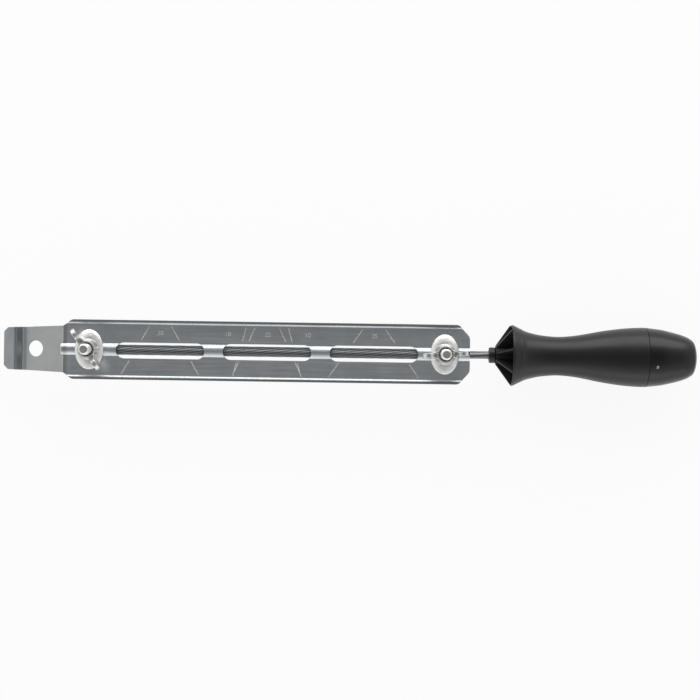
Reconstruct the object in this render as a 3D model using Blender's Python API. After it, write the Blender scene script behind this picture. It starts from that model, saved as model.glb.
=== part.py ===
"""Chainsaw file guide: a pressed steel guide plate that carries a round file under its ridge.

Two eye bolts hold the file from below. Each passes up through the plate, a domed saddle washer
and a flat washer, and is drawn up by a wing nut. A hollow plastic handle is pushed onto the
file's tang. Metres, +Z up. The file's axis runs along X, the tang of the plate at -X and the
handle at +X. Every piece is placed from the point of the file's axis below the plate's middle.
"""

import math

import bmesh
import bpy
from mathutils import Matrix, Vector

# Fits and cuts
RUNNING_GAP = 0.0003
STACK_GAP = 0.00015
CUT_OVERRUN = 0.003

# Round file, for a 3/16 inch cutter
FILE_DIAMETER = 0.0048
FILE_CUT_LENGTH = 0.1893
FILE_CUT_DEPTH = 0.0002
FILE_END_CHAMFER = 0.0005
FILE_CUT_STARTS = 10
FILE_CUT_ANGLE = math.radians(10)
FILE_CUT_STEPS = 60
FILE_NECK_DIAMETER = 0.0038
FILE_NECK_LENGTH = 0.0110
FILE_NECK_SEAT = 0.0005
FILE_TAPER_LENGTH = 0.0012
FILE_TANG_LENGTH = 0.0370
FILE_TANG_TIP_DIAMETER = 0.0016

# Guide plate, pressed from one sheet
SHEET = 0.0012
PLATE_LENGTH = 0.1908
PLATE_WIDTH = 0.0279
PLATE_RISE = 0.00144
RAIL_HEIGHT = 0.0026
RAIL_BEND_RADIUS = 0.0010
RIDGE_FOOT_RADIUS = 0.0006
RIDGE_NOSE_LENGTH = 0.0026
NOSE_STEP = 0.00006
FRONT_CORNER_LENGTH = 0.0034
REAR_CORNER_LENGTH = 0.0053
REAR_CORNER_WIDTH = 0.0058
CORNER_ROUNDING = 0.0035

# The windows, the lines and the bolts lie a little behind the plate's middle
PATTERN_SHIFT = 0.0005

# Three windows that show the file
SLOT_LENGTH = 0.0414
SLOT_WIDTH = 0.0074
SLOT_END_RADIUS = 0.0036
SLOT_PITCH = 0.0500
SLOT_SIDE_SHIFT = 0.0003
SLOT_COUNT = 3

# Tang of the plate: a slope down to a trough, a step and a level lip
TANG_ROOT_WIDTH = 0.0219
TANG_TIP_WIDTH = 0.0197
TANG_SLOPE_LENGTH = 0.0185
TANG_SLOPE = math.radians(16)
STEP_LENGTH = 0.0034
STEP_RISE = 0.0046
LIP_LENGTH = 0.0058
TANG_BEND_RADIUS = 0.0014
LIP_CORNER = 0.0019
HANG_HOLE_DIAMETER = 0.0074
HANG_HOLE_PLACE = 0.0133

# Angle lines stamped beside the windows, for setting the file against the chain
MARK_WIDTH = 0.00035
MARK_DEPTH = 0.00012
MARK_INNER_REACH = 0.0048
MARK_OUTER_REACH = 0.0113
FRONT_MARK_PLACE = 0.0116
MIDDLE_MARK_PLACE = 0.0109
MIDDLE_FINE_MARK_PLACE = 0.0129
REAR_MARK_PLACE = 0.0132
FRONT_MARK_ANGLE = math.radians(30)
MIDDLE_MARK_ANGLE = math.radians(25)
MIDDLE_FINE_MARK_ANGLE = math.radians(15)
REAR_MARK_ANGLE = math.radians(35)

# Eye bolts, placed from the outer ends of the windows
BOLT_PLACE = 0.0123
STUD_DIAMETER = 0.0050
STUD_HEIGHT = 0.0162
STUD_CHAMFER = 0.0010
EYE_WALL = 0.0016
EYE_THICKNESS = 0.0046
EYE_ROUNDING = 0.0008
EYE_BORE_PLAY = 0.0008

# Saddle washers, domed oval pressings
SADDLE_LENGTH = 0.0133
SADDLE_WIDTH = 0.0186
SADDLE_SHEET = 0.0010
SADDLE_CROWN_RADIUS = 0.0050

# Flat washers
WASHER_DIAMETER = 0.0100
WASHER_THICKNESS = 0.0010

# Wing nuts
HUB_BASE_DIAMETER = 0.0106
HUB_TOP_DIAMETER = 0.0086
HUB_HEIGHT = 0.0050
HUB_FOOT = 0.0009
HUB_ROUNDING = 0.0007
WING_SPAN = 0.0220
WING_HEIGHT = 0.0105
WING_TIP_RADIUS = 0.0030
WING_THICKNESS = 0.0020
WING_ROUNDING = 0.0006
FRONT_WING_ANGLE = math.radians(125)
REAR_WING_ANGLE = math.radians(4)

# Handle: a moulded grip and its end cap
COLLAR_DIAMETER = 0.0074
COLLAR_LENGTH = 0.0030
COLLAR_GAP_TO_PLATE = 0.0090
CORE_DIAMETER = 0.0086
RIM_DIAMETER = 0.0286
RIM_BEAD = 0.0019
WAIST_DIAMETER = 0.0182
BELLY_DIAMETER = 0.0278
BELL_CONE_LENGTH = 0.0095
GRIP_WAIST_PLACE = 0.0331
GRIP_SEAM_PLACE = 0.0733
HANDLE_LENGTH = 0.0978
HANDLE_WALL = 0.0022
BELL_FLOOR_PLACE = 0.0236
SOCKET_END_PLACE = 0.0400
RIB_COUNT = 8
RIB_THICKNESS = 0.0009
RIB_PHASE = math.radians(12)
SPIGOT_LENGTH = 0.0050
SPIGOT_WALL = 0.0018

# Outline of the handle: places between its landmarks, and radii between waist and rim or belly
FRONT_FALL_PLACE_SHARES = (0.15, 0.29, 0.53, 0.775)
FRONT_FALL_RADIUS_SHARES = (0.69, 0.42, 0.165, 0.035)
REAR_RISE_PLACE_SHARES = (0.17, 0.32, 0.54, 0.79)
REAR_RISE_RADIUS_SHARES = (0.11, 0.30, 0.62, 0.89)
BELLY_PLACE_SHARE = 0.918527
CAP_PLACE_SHARES = (0.28, 0.48, 0.69, 0.84, 0.93)
CAP_RADIUS_SHARES = (0.945, 0.87, 0.77, 0.655, 0.49)

ROUND_SIDES = 28
HANDLE_SIDES = 32
SADDLE_SIDES = 28
ARC_STEPS = 5

# Levels and places that follow from the sizes above
file_radius = FILE_DIAMETER / 2
channel_radius = file_radius + RUNNING_GAP
ridge_radius = channel_radius + SHEET
plate_underside = PLATE_RISE
plate_top = PLATE_RISE + SHEET
plate_end = PLATE_LENGTH / 2
last_slot = SLOT_PITCH * (SLOT_COUNT - 1) / 2
bolt_centre = last_slot + SLOT_LENGTH / 2 + BOLT_PLACE
stud_radius = STUD_DIAMETER / 2
eye_bore_radius = file_radius + EYE_BORE_PLAY
eye_radius = eye_bore_radius + EYE_WALL
eye_height = EYE_BORE_PLAY - RUNNING_GAP
eye_top = eye_height + eye_radius
saddle_foot = plate_top + STACK_GAP
saddle_crown = eye_top + RUNNING_GAP + SADDLE_SHEET
washer_foot = saddle_crown + STACK_GAP
nut_foot = washer_foot + WASHER_THICKNESS + STACK_GAP
file_reach = FILE_CUT_LENGTH + FILE_NECK_LENGTH - FILE_NECK_SEAT
file_start = max(-plate_end, plate_end + COLLAR_GAP_TO_PLATE - file_reach)
handle_front = file_start + file_reach
handle_end = handle_front + HANDLE_LENGTH
lip_end = plate_end + TANG_SLOPE_LENGTH + STEP_LENGTH + LIP_LENGTH
rim_radius = RIM_DIAMETER / 2

for old in list(bpy.data.objects):
    bpy.data.objects.remove(old, do_unlink=True)


def make_material(name, colour, metallic, roughness):
    """One Principled BSDF finish."""
    material = bpy.data.materials.new(name)
    material.use_nodes = True
    shader = material.node_tree.nodes["Principled BSDF"]
    shader.inputs["Base Color"].default_value = (*colour, 1)
    shader.inputs["Metallic"].default_value = metallic
    shader.inputs["Roughness"].default_value = roughness
    material.diffuse_color = (*colour, 1)
    return material


zinc_sheet = make_material("zinc plated sheet", (0.24, 0.25, 0.26), 1.0, 0.38)
bright_zinc = make_material("bright zinc hardware", (0.70, 0.70, 0.69), 1.0, 0.25)
file_steel = make_material("file steel", (0.12, 0.12, 0.125), 1.0, 0.45)
black_plastic = make_material("black moulded plastic", (0.018, 0.018, 0.019), 0.0, 0.42)

# The whole tool hangs on one empty, set so that its box stands centred on the ground
axis = bpy.data.objects.new("file_axis", None)
axis.location = ((lip_end - handle_end) / 2, 0, rim_radius)
bpy.context.scene.collection.objects.link(axis)


def place(name, bm, location, material=None, turn=0.0):
    """Puts a finished mesh on the file's axis. Without a material it is a cutter."""
    bmesh.ops.recalc_face_normals(bm, faces=bm.faces)
    mesh = bpy.data.meshes.new(name)
    bm.to_mesh(mesh)
    bm.free()
    thing = bpy.data.objects.new(name, mesh)
    bpy.context.scene.collection.objects.link(thing)
    thing.parent = axis
    thing.location = location
    thing.rotation_euler = (0, 0, turn)
    if material:
        mesh.materials.append(material)
        mesh.shade_smooth()
        mesh.set_sharp_from_angle(angle=math.radians(30))
    else:
        thing.hide_render = True
        thing.display_type = "WIRE"
    return thing


def combine(target, tool, operation):
    """Adds a live Boolean of one object on another."""
    modifier = target.modifiers.new(tool.name, "BOOLEAN")
    modifier.operation = operation
    modifier.solver = "EXACT"
    modifier.object = tool


def spoke(angle):
    """A unit vector at an angle, rounded so that its points on the middle planes lie on them."""
    return round(math.cos(angle), 12), round(math.sin(angle), 12)


def arc(centre, radius, start, end, steps=ARC_STEPS):
    """Points of an arc in a plane, both ends included, angles in degrees."""
    points = []
    for i in range(steps + 1):
        across, up = spoke(math.radians(start + (end - start) * i / steps))
        points.append((centre[0] + radius * across, centre[1] + radius * up))
    return points


def prism(bm, outline, low, high, to_space):
    """A closed prism of a flat outline between two heights. to_space turns (u, v, height) to XYZ."""
    rings = [[bm.verts.new(to_space(u, v, h)) for u, v in outline] for h in (low, high)]
    count = len(outline)
    for i in range(count):
        j = (i + 1) % count
        bm.faces.new((rings[0][i], rings[0][j], rings[1][j], rings[1][i]))
    bm.faces.new(rings[0])
    bm.faces.new(rings[1])


def plan(u, v, h):
    """An outline drawn from above."""
    return Vector((u, v, h))


def side(u, v, h):
    """An outline drawn from the side, its height across the tool."""
    return Vector((u, h, v))


def section(u, v, h):
    """An outline drawn across the tool, its height along it."""
    return Vector((h, u, v))


def along_x(place_on_axis, radius, angle):
    """A point of a shape turned about X. Angle 0 is straight up."""
    up, across = spoke(angle)
    return Vector((place_on_axis, radius * across, radius * up))


def along_z(place_on_axis, radius, angle):
    """A point of a shape turned about Z."""
    along, across = spoke(angle)
    return Vector((radius * along, radius * across, place_on_axis))


def turned(bm, profile, to_space, sides=ROUND_SIDES):
    """Turns a profile of (place, radius). It closes on itself unless it ends on the axis."""
    rings = []
    for spot, radius in profile:
        if radius == 0:
            rings.append([bm.verts.new(to_space(spot, 0, 0))])
        else:
            step = math.tau / sides
            rings.append([bm.verts.new(to_space(spot, radius, step * i)) for i in range(sides)])
    on_axis = len(rings[0]) == 1
    last = len(rings) - 1 if on_axis else len(rings)
    for k in range(last):
        here, there = rings[k], rings[(k + 1) % len(rings)]
        for i in range(sides):
            j = (i + 1) % sides
            corners = [here[i % len(here)], here[j % len(here)]]
            corners += [there[j % len(there)], there[i % len(there)]]
            bm.faces.new(list(dict.fromkeys(corners)))


def smooth_curve(points, steps=3):
    """A Catmull-Rom curve through the points."""
    curve = []
    for k in range(len(points) - 1):
        before = Vector(points[max(k - 1, 0)])
        here, there = Vector(points[k]), Vector(points[k + 1])
        after = Vector(points[min(k + 2, len(points) - 1)])
        for i in range(steps):
            t = i / steps
            pull = (there - before) * t + (before * 2 - here * 5 + there * 4 - after) * t * t
            bend = (here * 3 - before - there * 3 + after) * t ** 3
            curve.append(tuple(here + (pull + bend) / 2))
    curve.append(tuple(points[-1]))
    return curve


def rounded_rectangle(length, width, radius, centre=(0, 0)):
    """The outline of a plate with four round corners."""
    outline = []
    for quarter, (sx, sy) in enumerate(((1, 1), (-1, 1), (-1, -1), (1, -1))):
        corner = (
            centre[0] + sx * (length / 2 - radius),
            centre[1] + sy * (width / 2 - radius),
        )
        outline += arc(corner, radius, quarter * 90, quarter * 90 + 90, 6)
    return outline


def plate_section():
    """Half of the pressed section, from the ridge's top out to the rail, mirrored to the whole."""
    foot_height = plate_top + RIDGE_FOOT_RADIUS
    reach = ridge_radius + RIDGE_FOOT_RADIUS
    foot_side = math.sqrt(reach ** 2 - foot_height ** 2)
    foot_angle = math.degrees(math.atan2(foot_height, foot_side))
    bend = (PLATE_WIDTH / 2 - SHEET - RAIL_BEND_RADIUS, plate_top + RAIL_BEND_RADIUS)
    half = arc((0, 0), ridge_radius, 90, foot_angle, 7)
    half += arc((foot_side, foot_height), RIDGE_FOOT_RADIUS, foot_angle - 180, -90, 3)[1:]
    half += arc(bend, RAIL_BEND_RADIUS, -90, 0)
    half.append((PLATE_WIDTH / 2 - SHEET, plate_top + RAIL_HEIGHT))
    half.append((PLATE_WIDTH / 2, plate_top + RAIL_HEIGHT))
    half += arc(bend, RAIL_BEND_RADIUS + SHEET, 0, -90)
    return half + [(-u, v) for u, v in reversed(half[1:])]


def rounded_path(path, radius):
    """A path through the points, with each inner corner rounded."""
    line = [Vector(path[0])]
    for before, corner, after in zip(path, path[1:], path[2:]):
        corner = Vector(corner)
        back = (Vector(before) - corner).normalized()
        ahead = (Vector(after) - corner).normalized()
        setback = radius / math.tan(back.angle(ahead) / 2)
        start, end = corner + back * setback, corner + ahead * setback
        for i in range(ARC_STEPS + 1):
            t = i / ARC_STEPS
            line.append(start * (1 - t) ** 2 + corner * 2 * t * (1 - t) + end * t * t)
    return line + [Vector(path[-1])]


def strip_outline(path, radius, thickness):
    """The side outline of a bent strip: a middle line with rounded bends, thickened evenly."""
    line = rounded_path(path, radius)
    upper, lower = [], []
    for i, point in enumerate(line):
        run = (line[min(i + 1, len(line) - 1)] - line[max(i - 1, 0)]).normalized()
        square = Vector((-run.y, run.x)) * thickness / 2
        lower.append(tuple(point + square))
        upper.append(tuple(point - square))
    return upper + lower[::-1]


def guide_plate():
    """Rails, ridge, tang and lip in one sheet, with the windows and holes cut out."""
    middle = plate_underside + SHEET / 2
    bm = bmesh.new()
    prism(bm, plate_section(), -plate_end, plate_end, section)
    plate = place("guide_plate", bm, (0, 0, 0), zinc_sheet)

    trough = (-plate_end - TANG_SLOPE_LENGTH, middle - TANG_SLOPE_LENGTH * math.tan(TANG_SLOPE))
    lip = (trough[0] - STEP_LENGTH, trough[1] + STEP_RISE)
    path = [(-plate_end + CUT_OVERRUN, middle), (-plate_end, middle), trough, lip]
    path.append((-lip_end - CUT_OVERRUN, lip[1]))
    bm = bmesh.new()
    outline = strip_outline(path, TANG_BEND_RADIUS, SHEET)
    prism(bm, outline, -TANG_ROOT_WIDTH / 2, TANG_ROOT_WIDTH / 2, side)
    combine(plate, place("tang_strip", bm, (0, 0, 0)), "UNION")

    bm = bmesh.new()
    nose_radius = ridge_radius - NOSE_STEP
    nose = arc((-plate_end, 0), nose_radius, 180, 90, 6)
    nose = [(-plate_end + (u + plate_end) * RIDGE_NOSE_LENGTH / nose_radius, v) for u, v in nose]
    nose[0] = (nose[0][0], 0)
    nose += [(-plate_end + SHEET, nose_radius), (-plate_end + SHEET, 0)]
    turned(bm, nose, along_x, 28)
    low = Vector((0, 0, plate_underside + SHEET / 4))
    every = bm.verts[:] + bm.edges[:] + bm.faces[:]
    bmesh.ops.bisect_plane(bm, geom=every, plane_co=low, plane_no=(0, 0, -1), clear_outer=True)
    bmesh.ops.holes_fill(bm, edges=[edge for edge in bm.edges if edge.is_boundary])
    combine(plate, place("ridge_nose", bm, (0, 0, 0)), "UNION")

    root, tip, half = TANG_ROOT_WIDTH / 2, TANG_TIP_WIDTH / 2, PLATE_WIDTH / 2
    edge = [(-lip_end, tip - LIP_CORNER), (-lip_end + LIP_CORNER, tip)]
    flank = [(-plate_end, root), (-plate_end + FRONT_CORNER_LENGTH, half)]
    flank += [(plate_end - REAR_CORNER_LENGTH, half), (plate_end, half - REAR_CORNER_WIDTH)]
    flank.append((plate_end, 0))
    edge += [tuple(point) for point in rounded_path(flank, CORNER_ROUNDING)[:-1]]
    bm = bmesh.new()
    outline = edge + [(u, -v) for u, v in reversed(edge)]
    prism(bm, outline, -TANG_SLOPE_LENGTH, TANG_SLOPE_LENGTH, plan)
    combine(plate, place("plan_outline", bm, (0, 0, 0)), "INTERSECT")

    bm = bmesh.new()
    channel = arc((-plate_end, 0), channel_radius, 180, 90, 5)
    blunt = (RIDGE_NOSE_LENGTH - SHEET / 2) / channel_radius
    channel = [(-plate_end + (u + plate_end) * blunt, v) for u, v in channel]
    channel[0] = (channel[0][0], 0)
    channel += [(plate_end + CUT_OVERRUN, channel_radius), (plate_end + CUT_OVERRUN, 0)]
    turned(bm, channel, along_x)
    combine(plate, place("file_channel", bm, (0, 0, 0)), "DIFFERENCE")

    bm = bmesh.new()
    for k in range(SLOT_COUNT):
        centre = (PATTERN_SHIFT - last_slot + SLOT_PITCH * k, -SLOT_SIDE_SHIFT)
        window = rounded_rectangle(SLOT_LENGTH, SLOT_WIDTH, SLOT_END_RADIUS, centre)
        prism(bm, window, 0, ridge_radius + CUT_OVERRUN, plan)
    eye_hole = (EYE_THICKNESS + 2 * RUNNING_GAP, 2 * (eye_radius + 2 * RUNNING_GAP))
    for centre in (PATTERN_SHIFT - bolt_centre, PATTERN_SHIFT + bolt_centre):
        hole = rounded_rectangle(*eye_hole, EYE_ROUNDING, (centre, 0))
        prism(bm, hole, 0, ridge_radius + CUT_OVERRUN, plan)
    combine(plate, place("windows_and_eye_holes", bm, (0, 0, 0)), "DIFFERENCE")

    bm = bmesh.new()
    depth = HANG_HOLE_DIAMETER / 2
    turned(bm, [(-depth, 0), (-depth, depth), (depth, depth), (depth, 0)], along_z)
    bmesh.ops.rotate(bm, verts=bm.verts, matrix=Matrix.Rotation(-TANG_SLOPE, 3, "Y"))
    drop = HANG_HOLE_PLACE * math.tan(TANG_SLOPE)
    spot = (-plate_end - HANG_HOLE_PLACE, 0, middle - drop)
    combine(plate, place("hang_hole", bm, spot), "DIFFERENCE")

    main = [(-last_slot, FRONT_MARK_PLACE, FRONT_MARK_ANGLE)]
    main.append((0, MIDDLE_MARK_PLACE, MIDDLE_MARK_ANGLE))
    main.append((last_slot, REAR_MARK_PLACE, REAR_MARK_ANGLE))
    fine = [(0, MIDDLE_FINE_MARK_PLACE, MIDDLE_FINE_MARK_ANGLE)]
    for name, marks in (("angle_marks", main), ("fine_angle_marks", fine)):
        combine(plate, angle_marks(name, marks), "DIFFERENCE")


def angle_marks(name, marks):
    """Pairs of leaning lines beside each window, cut on both of its sides."""
    bm = bmesh.new()
    for middle, spread, angle in marks:
        for end in (-1, 1):
            for flank in (-1, 1):
                near, far = flank * MARK_INNER_REACH, flank * MARK_OUTER_REACH
                lean = -end * math.tan(angle)
                centre = middle + PATTERN_SHIFT + end * spread
                half = MARK_WIDTH / 2 / math.cos(angle)
                outline = [
                    (centre + near * lean - half, near),
                    (centre + near * lean + half, near),
                    (centre + far * lean + half, far),
                    (centre + far * lean - half, far),
                ]
                prism(bm, outline, plate_top - MARK_DEPTH, plate_top + MARK_DEPTH, plan)
    return place(name, bm, (0, 0, 0))


def round_file():
    """Spiral-cut body, smooth neck and tapered tang, lofted ring by ring."""
    points = FILE_CUT_STARTS * 2
    pitch = math.tau * file_radius / math.tan(FILE_CUT_ANGLE)
    rings = [(file_start, file_radius - FILE_END_CHAMFER, 0)]
    body = FILE_CUT_LENGTH - FILE_END_CHAMFER
    for k in range(FILE_CUT_STEPS + 1):
        spot = file_start + FILE_END_CHAMFER + body * k / FILE_CUT_STEPS
        rings.append((spot, file_radius, FILE_CUT_DEPTH))
    neck = file_start + FILE_CUT_LENGTH
    neck_end = neck + FILE_NECK_LENGTH
    rings.append((neck + FILE_TAPER_LENGTH, FILE_NECK_DIAMETER / 2, 0))
    rings.append((neck_end, FILE_NECK_DIAMETER / 2, 0))
    rings.append((neck_end + FILE_TANG_LENGTH, FILE_TANG_TIP_DIAMETER / 2, 0))
    bm = bmesh.new()
    loops = []
    for spot, radius, depth in rings:
        turn = math.tau * (min(spot, neck) - file_start) / pitch
        loop = []
        for i in range(points):
            angle = turn + math.tau * i / points
            loop.append(bm.verts.new(along_x(spot, radius - depth * (i % 2), angle)))
        loops.append(loop)
    for here, there in zip(loops, loops[1:]):
        for i in range(points):
            j = (i + 1) % points
            bm.faces.new((here[i], here[j], there[j], there[i]))
    bm.faces.new(loops[0])
    bm.faces.new(loops[-1])
    place("round_file", bm, (0, 0, 0), file_steel)


def eye_bolt(name, spot):
    """A formed eye round the file, and the stud that rises from it."""
    bm = bmesh.new()
    half = EYE_THICKNESS / 2
    eye = [(-half, eye_bore_radius), (-half, eye_radius - EYE_ROUNDING)]
    eye += arc((-half + EYE_ROUNDING, eye_radius - EYE_ROUNDING), EYE_ROUNDING, 180, 90, 3)[1:]
    eye += arc((half - EYE_ROUNDING, eye_radius - EYE_ROUNDING), EYE_ROUNDING, 90, 0, 3)
    eye.append((half, eye_bore_radius))
    turned(bm, eye, along_x)
    bolt = place(name, bm, (spot, 0, eye_height), bright_zinc)
    bm = bmesh.new()
    foot = eye_radius - EYE_WALL / 2
    top = foot + STUD_HEIGHT
    stud = [(foot, 0), (foot, stud_radius), (top - STUD_CHAMFER, stud_radius)]
    stud += [(top, stud_radius - STUD_CHAMFER), (top, 0)]
    turned(bm, stud, along_z)
    combine(bolt, place(name + "_stud", bm, (spot, 0, eye_height)), "UNION")


def saddle_washer(name, spot):
    """An oval dome of even sheet with a flat crown, arched over the ridge at both ends."""
    def ring(reach, height):
        """One oval of the dome, reach 0 at the crown's edge and 1 at the foot."""
        loop = []
        for i in range(SADDLE_SIDES):
            angle = math.tau * i / SADDLE_SIDES
            long = SADDLE_CROWN_RADIUS + (SADDLE_LENGTH / 2 - SADDLE_CROWN_RADIUS) * reach
            wide = SADDLE_CROWN_RADIUS + (SADDLE_WIDTH / 2 - SADDLE_CROWN_RADIUS) * reach
            loop.append(bm.verts.new((long * math.cos(angle), wide * math.sin(angle), height)))
        return loop

    bm = bmesh.new()
    drop = saddle_crown - saddle_foot - SADDLE_SHEET
    hole = stud_radius + RUNNING_GAP
    loops = []
    for level in (0, SADDLE_SHEET):
        shell = []
        for k in range(7):
            lean = math.radians(15 * k)
            shell.append(ring(math.sin(lean), saddle_crown - level - drop * (1 - math.cos(lean))))
        shell.append(ring(1, saddle_foot))
        circle = []
        for i in range(SADDLE_SIDES):
            rim = along_z(saddle_crown - level, hole, math.tau * i / SADDLE_SIDES)
            circle.append(bm.verts.new(rim))
        shell.insert(0, circle)
        loops.append(shell)
    inner_share = 1 - SADDLE_SHEET / (SADDLE_LENGTH / 2)
    for loop in loops[1][2:]:
        for vert in loop:
            vert.co.x *= inner_share
            vert.co.y *= inner_share
    rings = loops[0] + loops[1][::-1]
    for here, there in zip(rings, rings[1:] + rings[:1]):
        for i in range(SADDLE_SIDES):
            j = (i + 1) % SADDLE_SIDES
            bm.faces.new((here[i], here[j], there[j], there[i]))
    saddle = place(name, bm, (spot, 0, 0), bright_zinc)
    bm = bmesh.new()
    arch = ridge_radius + RUNNING_GAP
    ends = SADDLE_LENGTH / 2 + CUT_OVERRUN
    turned(bm, [(-ends, 0), (-ends, arch), (ends, arch), (ends, 0)], along_x)
    combine(saddle, place(name + "_arch", bm, (spot, 0, 0)), "DIFFERENCE")


def flat_washer(name, spot):
    """A plain washer on the saddle's crown."""
    bm = bmesh.new()
    bore, rim, top = stud_radius + RUNNING_GAP, WASHER_DIAMETER / 2, WASHER_THICKNESS
    turned(bm, [(0, bore), (0, rim), (top, rim), (top, bore)], along_z)
    place(name, bm, (spot, 0, washer_foot), bright_zinc)


def wing_outline():
    """One wing from the side: a straight rise from the hub to a round tip."""
    tip = (WING_SPAN / 2 - WING_TIP_RADIUS, WING_HEIGHT - WING_TIP_RADIUS)
    root = stud_radius + RUNNING_GAP + HUB_ROUNDING
    outline = [(root, HUB_FOOT), (HUB_BASE_DIAMETER / 2, HUB_FOOT)]
    outline += arc(tip, WING_TIP_RADIUS, -42, 142, 8)
    return outline + [(HUB_TOP_DIAMETER / 2, HUB_HEIGHT), (root, HUB_HEIGHT - HUB_ROUNDING)]


def wing_nut(name, spot, turn):
    """A conical hub with two upswept wings."""
    bm = bmesh.new()
    bore, base, crown = stud_radius + RUNNING_GAP, HUB_BASE_DIAMETER / 2, HUB_TOP_DIAMETER / 2
    hub = [(0, bore), (0, base), (HUB_FOOT, base), (HUB_HEIGHT - HUB_ROUNDING, crown)]
    hub += [(HUB_HEIGHT, crown - HUB_ROUNDING), (HUB_HEIGHT, bore)]
    turned(bm, hub, along_z)
    nut = place(name, bm, (spot, 0, nut_foot), bright_zinc, turn)
    for label, hand in (("_left_wing", -1), ("_right_wing", 1)):
        bm = bmesh.new()
        outline = [(u * hand, v) for u, v in wing_outline()]
        prism(bm, outline, -WING_THICKNESS / 2, WING_THICKNESS / 2, side)
        wing = place(name + label, bm, (spot, 0, nut_foot), None, turn)
        soften = wing.modifiers.new("rounding", "BEVEL")
        soften.width = WING_ROUNDING
        soften.segments = 2
        combine(nut, wing, "UNION")


def handle_outline():
    """Radius of the handle against the distance from its front, from the rim to the seam."""
    rim, waist, belly = RIM_DIAMETER / 2, WAIST_DIAMETER / 2, BELLY_DIAMETER / 2
    rim_place = BELL_CONE_LENGTH + RIM_BEAD
    fall = GRIP_WAIST_PLACE - rim_place
    rise = (GRIP_SEAM_PLACE - GRIP_WAIST_PLACE) * BELLY_PLACE_SHARE
    belly_place = GRIP_WAIST_PLACE + rise
    points = [(rim_place, rim)]
    for along, up in zip(FRONT_FALL_PLACE_SHARES, FRONT_FALL_RADIUS_SHARES):
        points.append((rim_place + fall * along, waist + (rim - waist) * up))
    points.append((GRIP_WAIST_PLACE, waist))
    for along, up in zip(REAR_RISE_PLACE_SHARES, REAR_RISE_RADIUS_SHARES):
        points.append((GRIP_WAIST_PLACE + rise * along, waist + (belly - waist) * up))
    points += [(belly_place, belly), (GRIP_SEAM_PLACE, belly)]
    return smooth_curve(points, 2)


def handle_grip():
    """A hollow moulding: ribbed bell, core tube with the tang's socket, and a rear cavity."""
    bead = RIM_BEAD / 2
    socket = FILE_NECK_DIAMETER / 2 + RUNNING_GAP
    core, collar = CORE_DIAMETER / 2, COLLAR_DIAMETER / 2
    outer = handle_outline()
    front = [point for point in outer if point[0] < BELL_FLOOR_PLACE]
    rear = [point for point in outer[::2] if point[0] > SOCKET_END_PLACE + HANDLE_WALL]
    bell = [(spot, radius - HANDLE_WALL) for spot, radius in reversed(front[1:])]
    rear = [point for point in rear if point[0] < GRIP_SEAM_PLACE]
    rear.append((GRIP_SEAM_PLACE, BELLY_DIAMETER / 2))
    cavity = [(spot, radius - HANDLE_WALL) for spot, radius in reversed(rear)]
    profile = [(0, socket), (0, collar), (COLLAR_LENGTH, collar), (COLLAR_LENGTH, core)]
    profile += [(BELL_FLOOR_PLACE, core), (BELL_FLOOR_PLACE, bell[0][1])]
    profile += bell
    bead_centre = (BELL_CONE_LENGTH + bead, rim_radius - bead)
    profile += arc(bead_centre, bead, 250, 90, 6)
    profile += outer
    profile += cavity
    profile += [(SOCKET_END_PLACE, cavity[-1][1]), (SOCKET_END_PLACE, socket)]
    bm = bmesh.new()
    turned(bm, profile, along_x, HANDLE_SIDES)
    grip = place("handle_grip", bm, (handle_front, 0, 0), black_plastic)

    bm = bmesh.new()
    inside = (core + socket) / 2
    back, floor_middle = BELL_FLOOR_PLACE + HANDLE_WALL, bell[0][1] + HANDLE_WALL / 2
    slant_end = (BELL_CONE_LENGTH + bead * 0.2, rim_radius - bead / 2)
    rib = [(COLLAR_LENGTH, inside), (COLLAR_LENGTH, core), slant_end]
    rib += [(spot, radius - HANDLE_WALL / 2) for spot, radius in front]
    rib += [(back, floor_middle), (back, inside)]
    for k in range(RIB_COUNT):
        swing = Matrix.Rotation(-RIB_PHASE - math.tau * k / RIB_COUNT, 3, "X")
        prism(bm, rib, -RIB_THICKNESS / 2, RIB_THICKNESS / 2, lambda u, v, h: swing @ side(u, v, h))
    combine(grip, place("bell_ribs", bm, (handle_front, 0, 0)), "UNION")


def handle_end_cap():
    """A domed hollow cap whose spigot plugs the grip's rear cavity."""
    belly = BELLY_DIAMETER / 2
    seam = GRIP_SEAM_PLACE + STACK_GAP
    length = HANDLE_LENGTH - seam
    points = [(seam, belly)]
    for along, up in zip(CAP_PLACE_SHARES, CAP_RADIUS_SHARES):
        points.append((seam + length * along, belly * up))
    points.append((HANDLE_LENGTH, 0))
    outer = smooth_curve(points, 2)
    spigot = belly - HANDLE_WALL - RUNNING_GAP
    hollow = spigot - SPIGOT_WALL
    inner = [(seam + (spot - seam) * 0.88, min(radius * 0.84, hollow)) for spot, radius in outer]
    profile = outer[::-1] + [(seam, spigot), (seam - SPIGOT_LENGTH, spigot)]
    profile += [(seam - SPIGOT_LENGTH, hollow)] + inner
    profile[-1] = (profile[-1][0], 0)
    bm = bmesh.new()
    turned(bm, profile, along_x, HANDLE_SIDES)
    place("handle_end_cap", bm, (handle_front, 0, 0), black_plastic)


guide_plate()
round_file()
for end, hand, lean in (("front", -1, FRONT_WING_ANGLE), ("rear", 1, REAR_WING_ANGLE)):
    centre = PATTERN_SHIFT + hand * bolt_centre
    eye_bolt(end + "_eye_bolt", centre)
    saddle_washer(end + "_saddle_washer", centre)
    flat_washer(end + "_flat_washer", centre)
    wing_nut(end + "_wing_nut", centre, lean)
handle_grip()
handle_end_cap()
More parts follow.
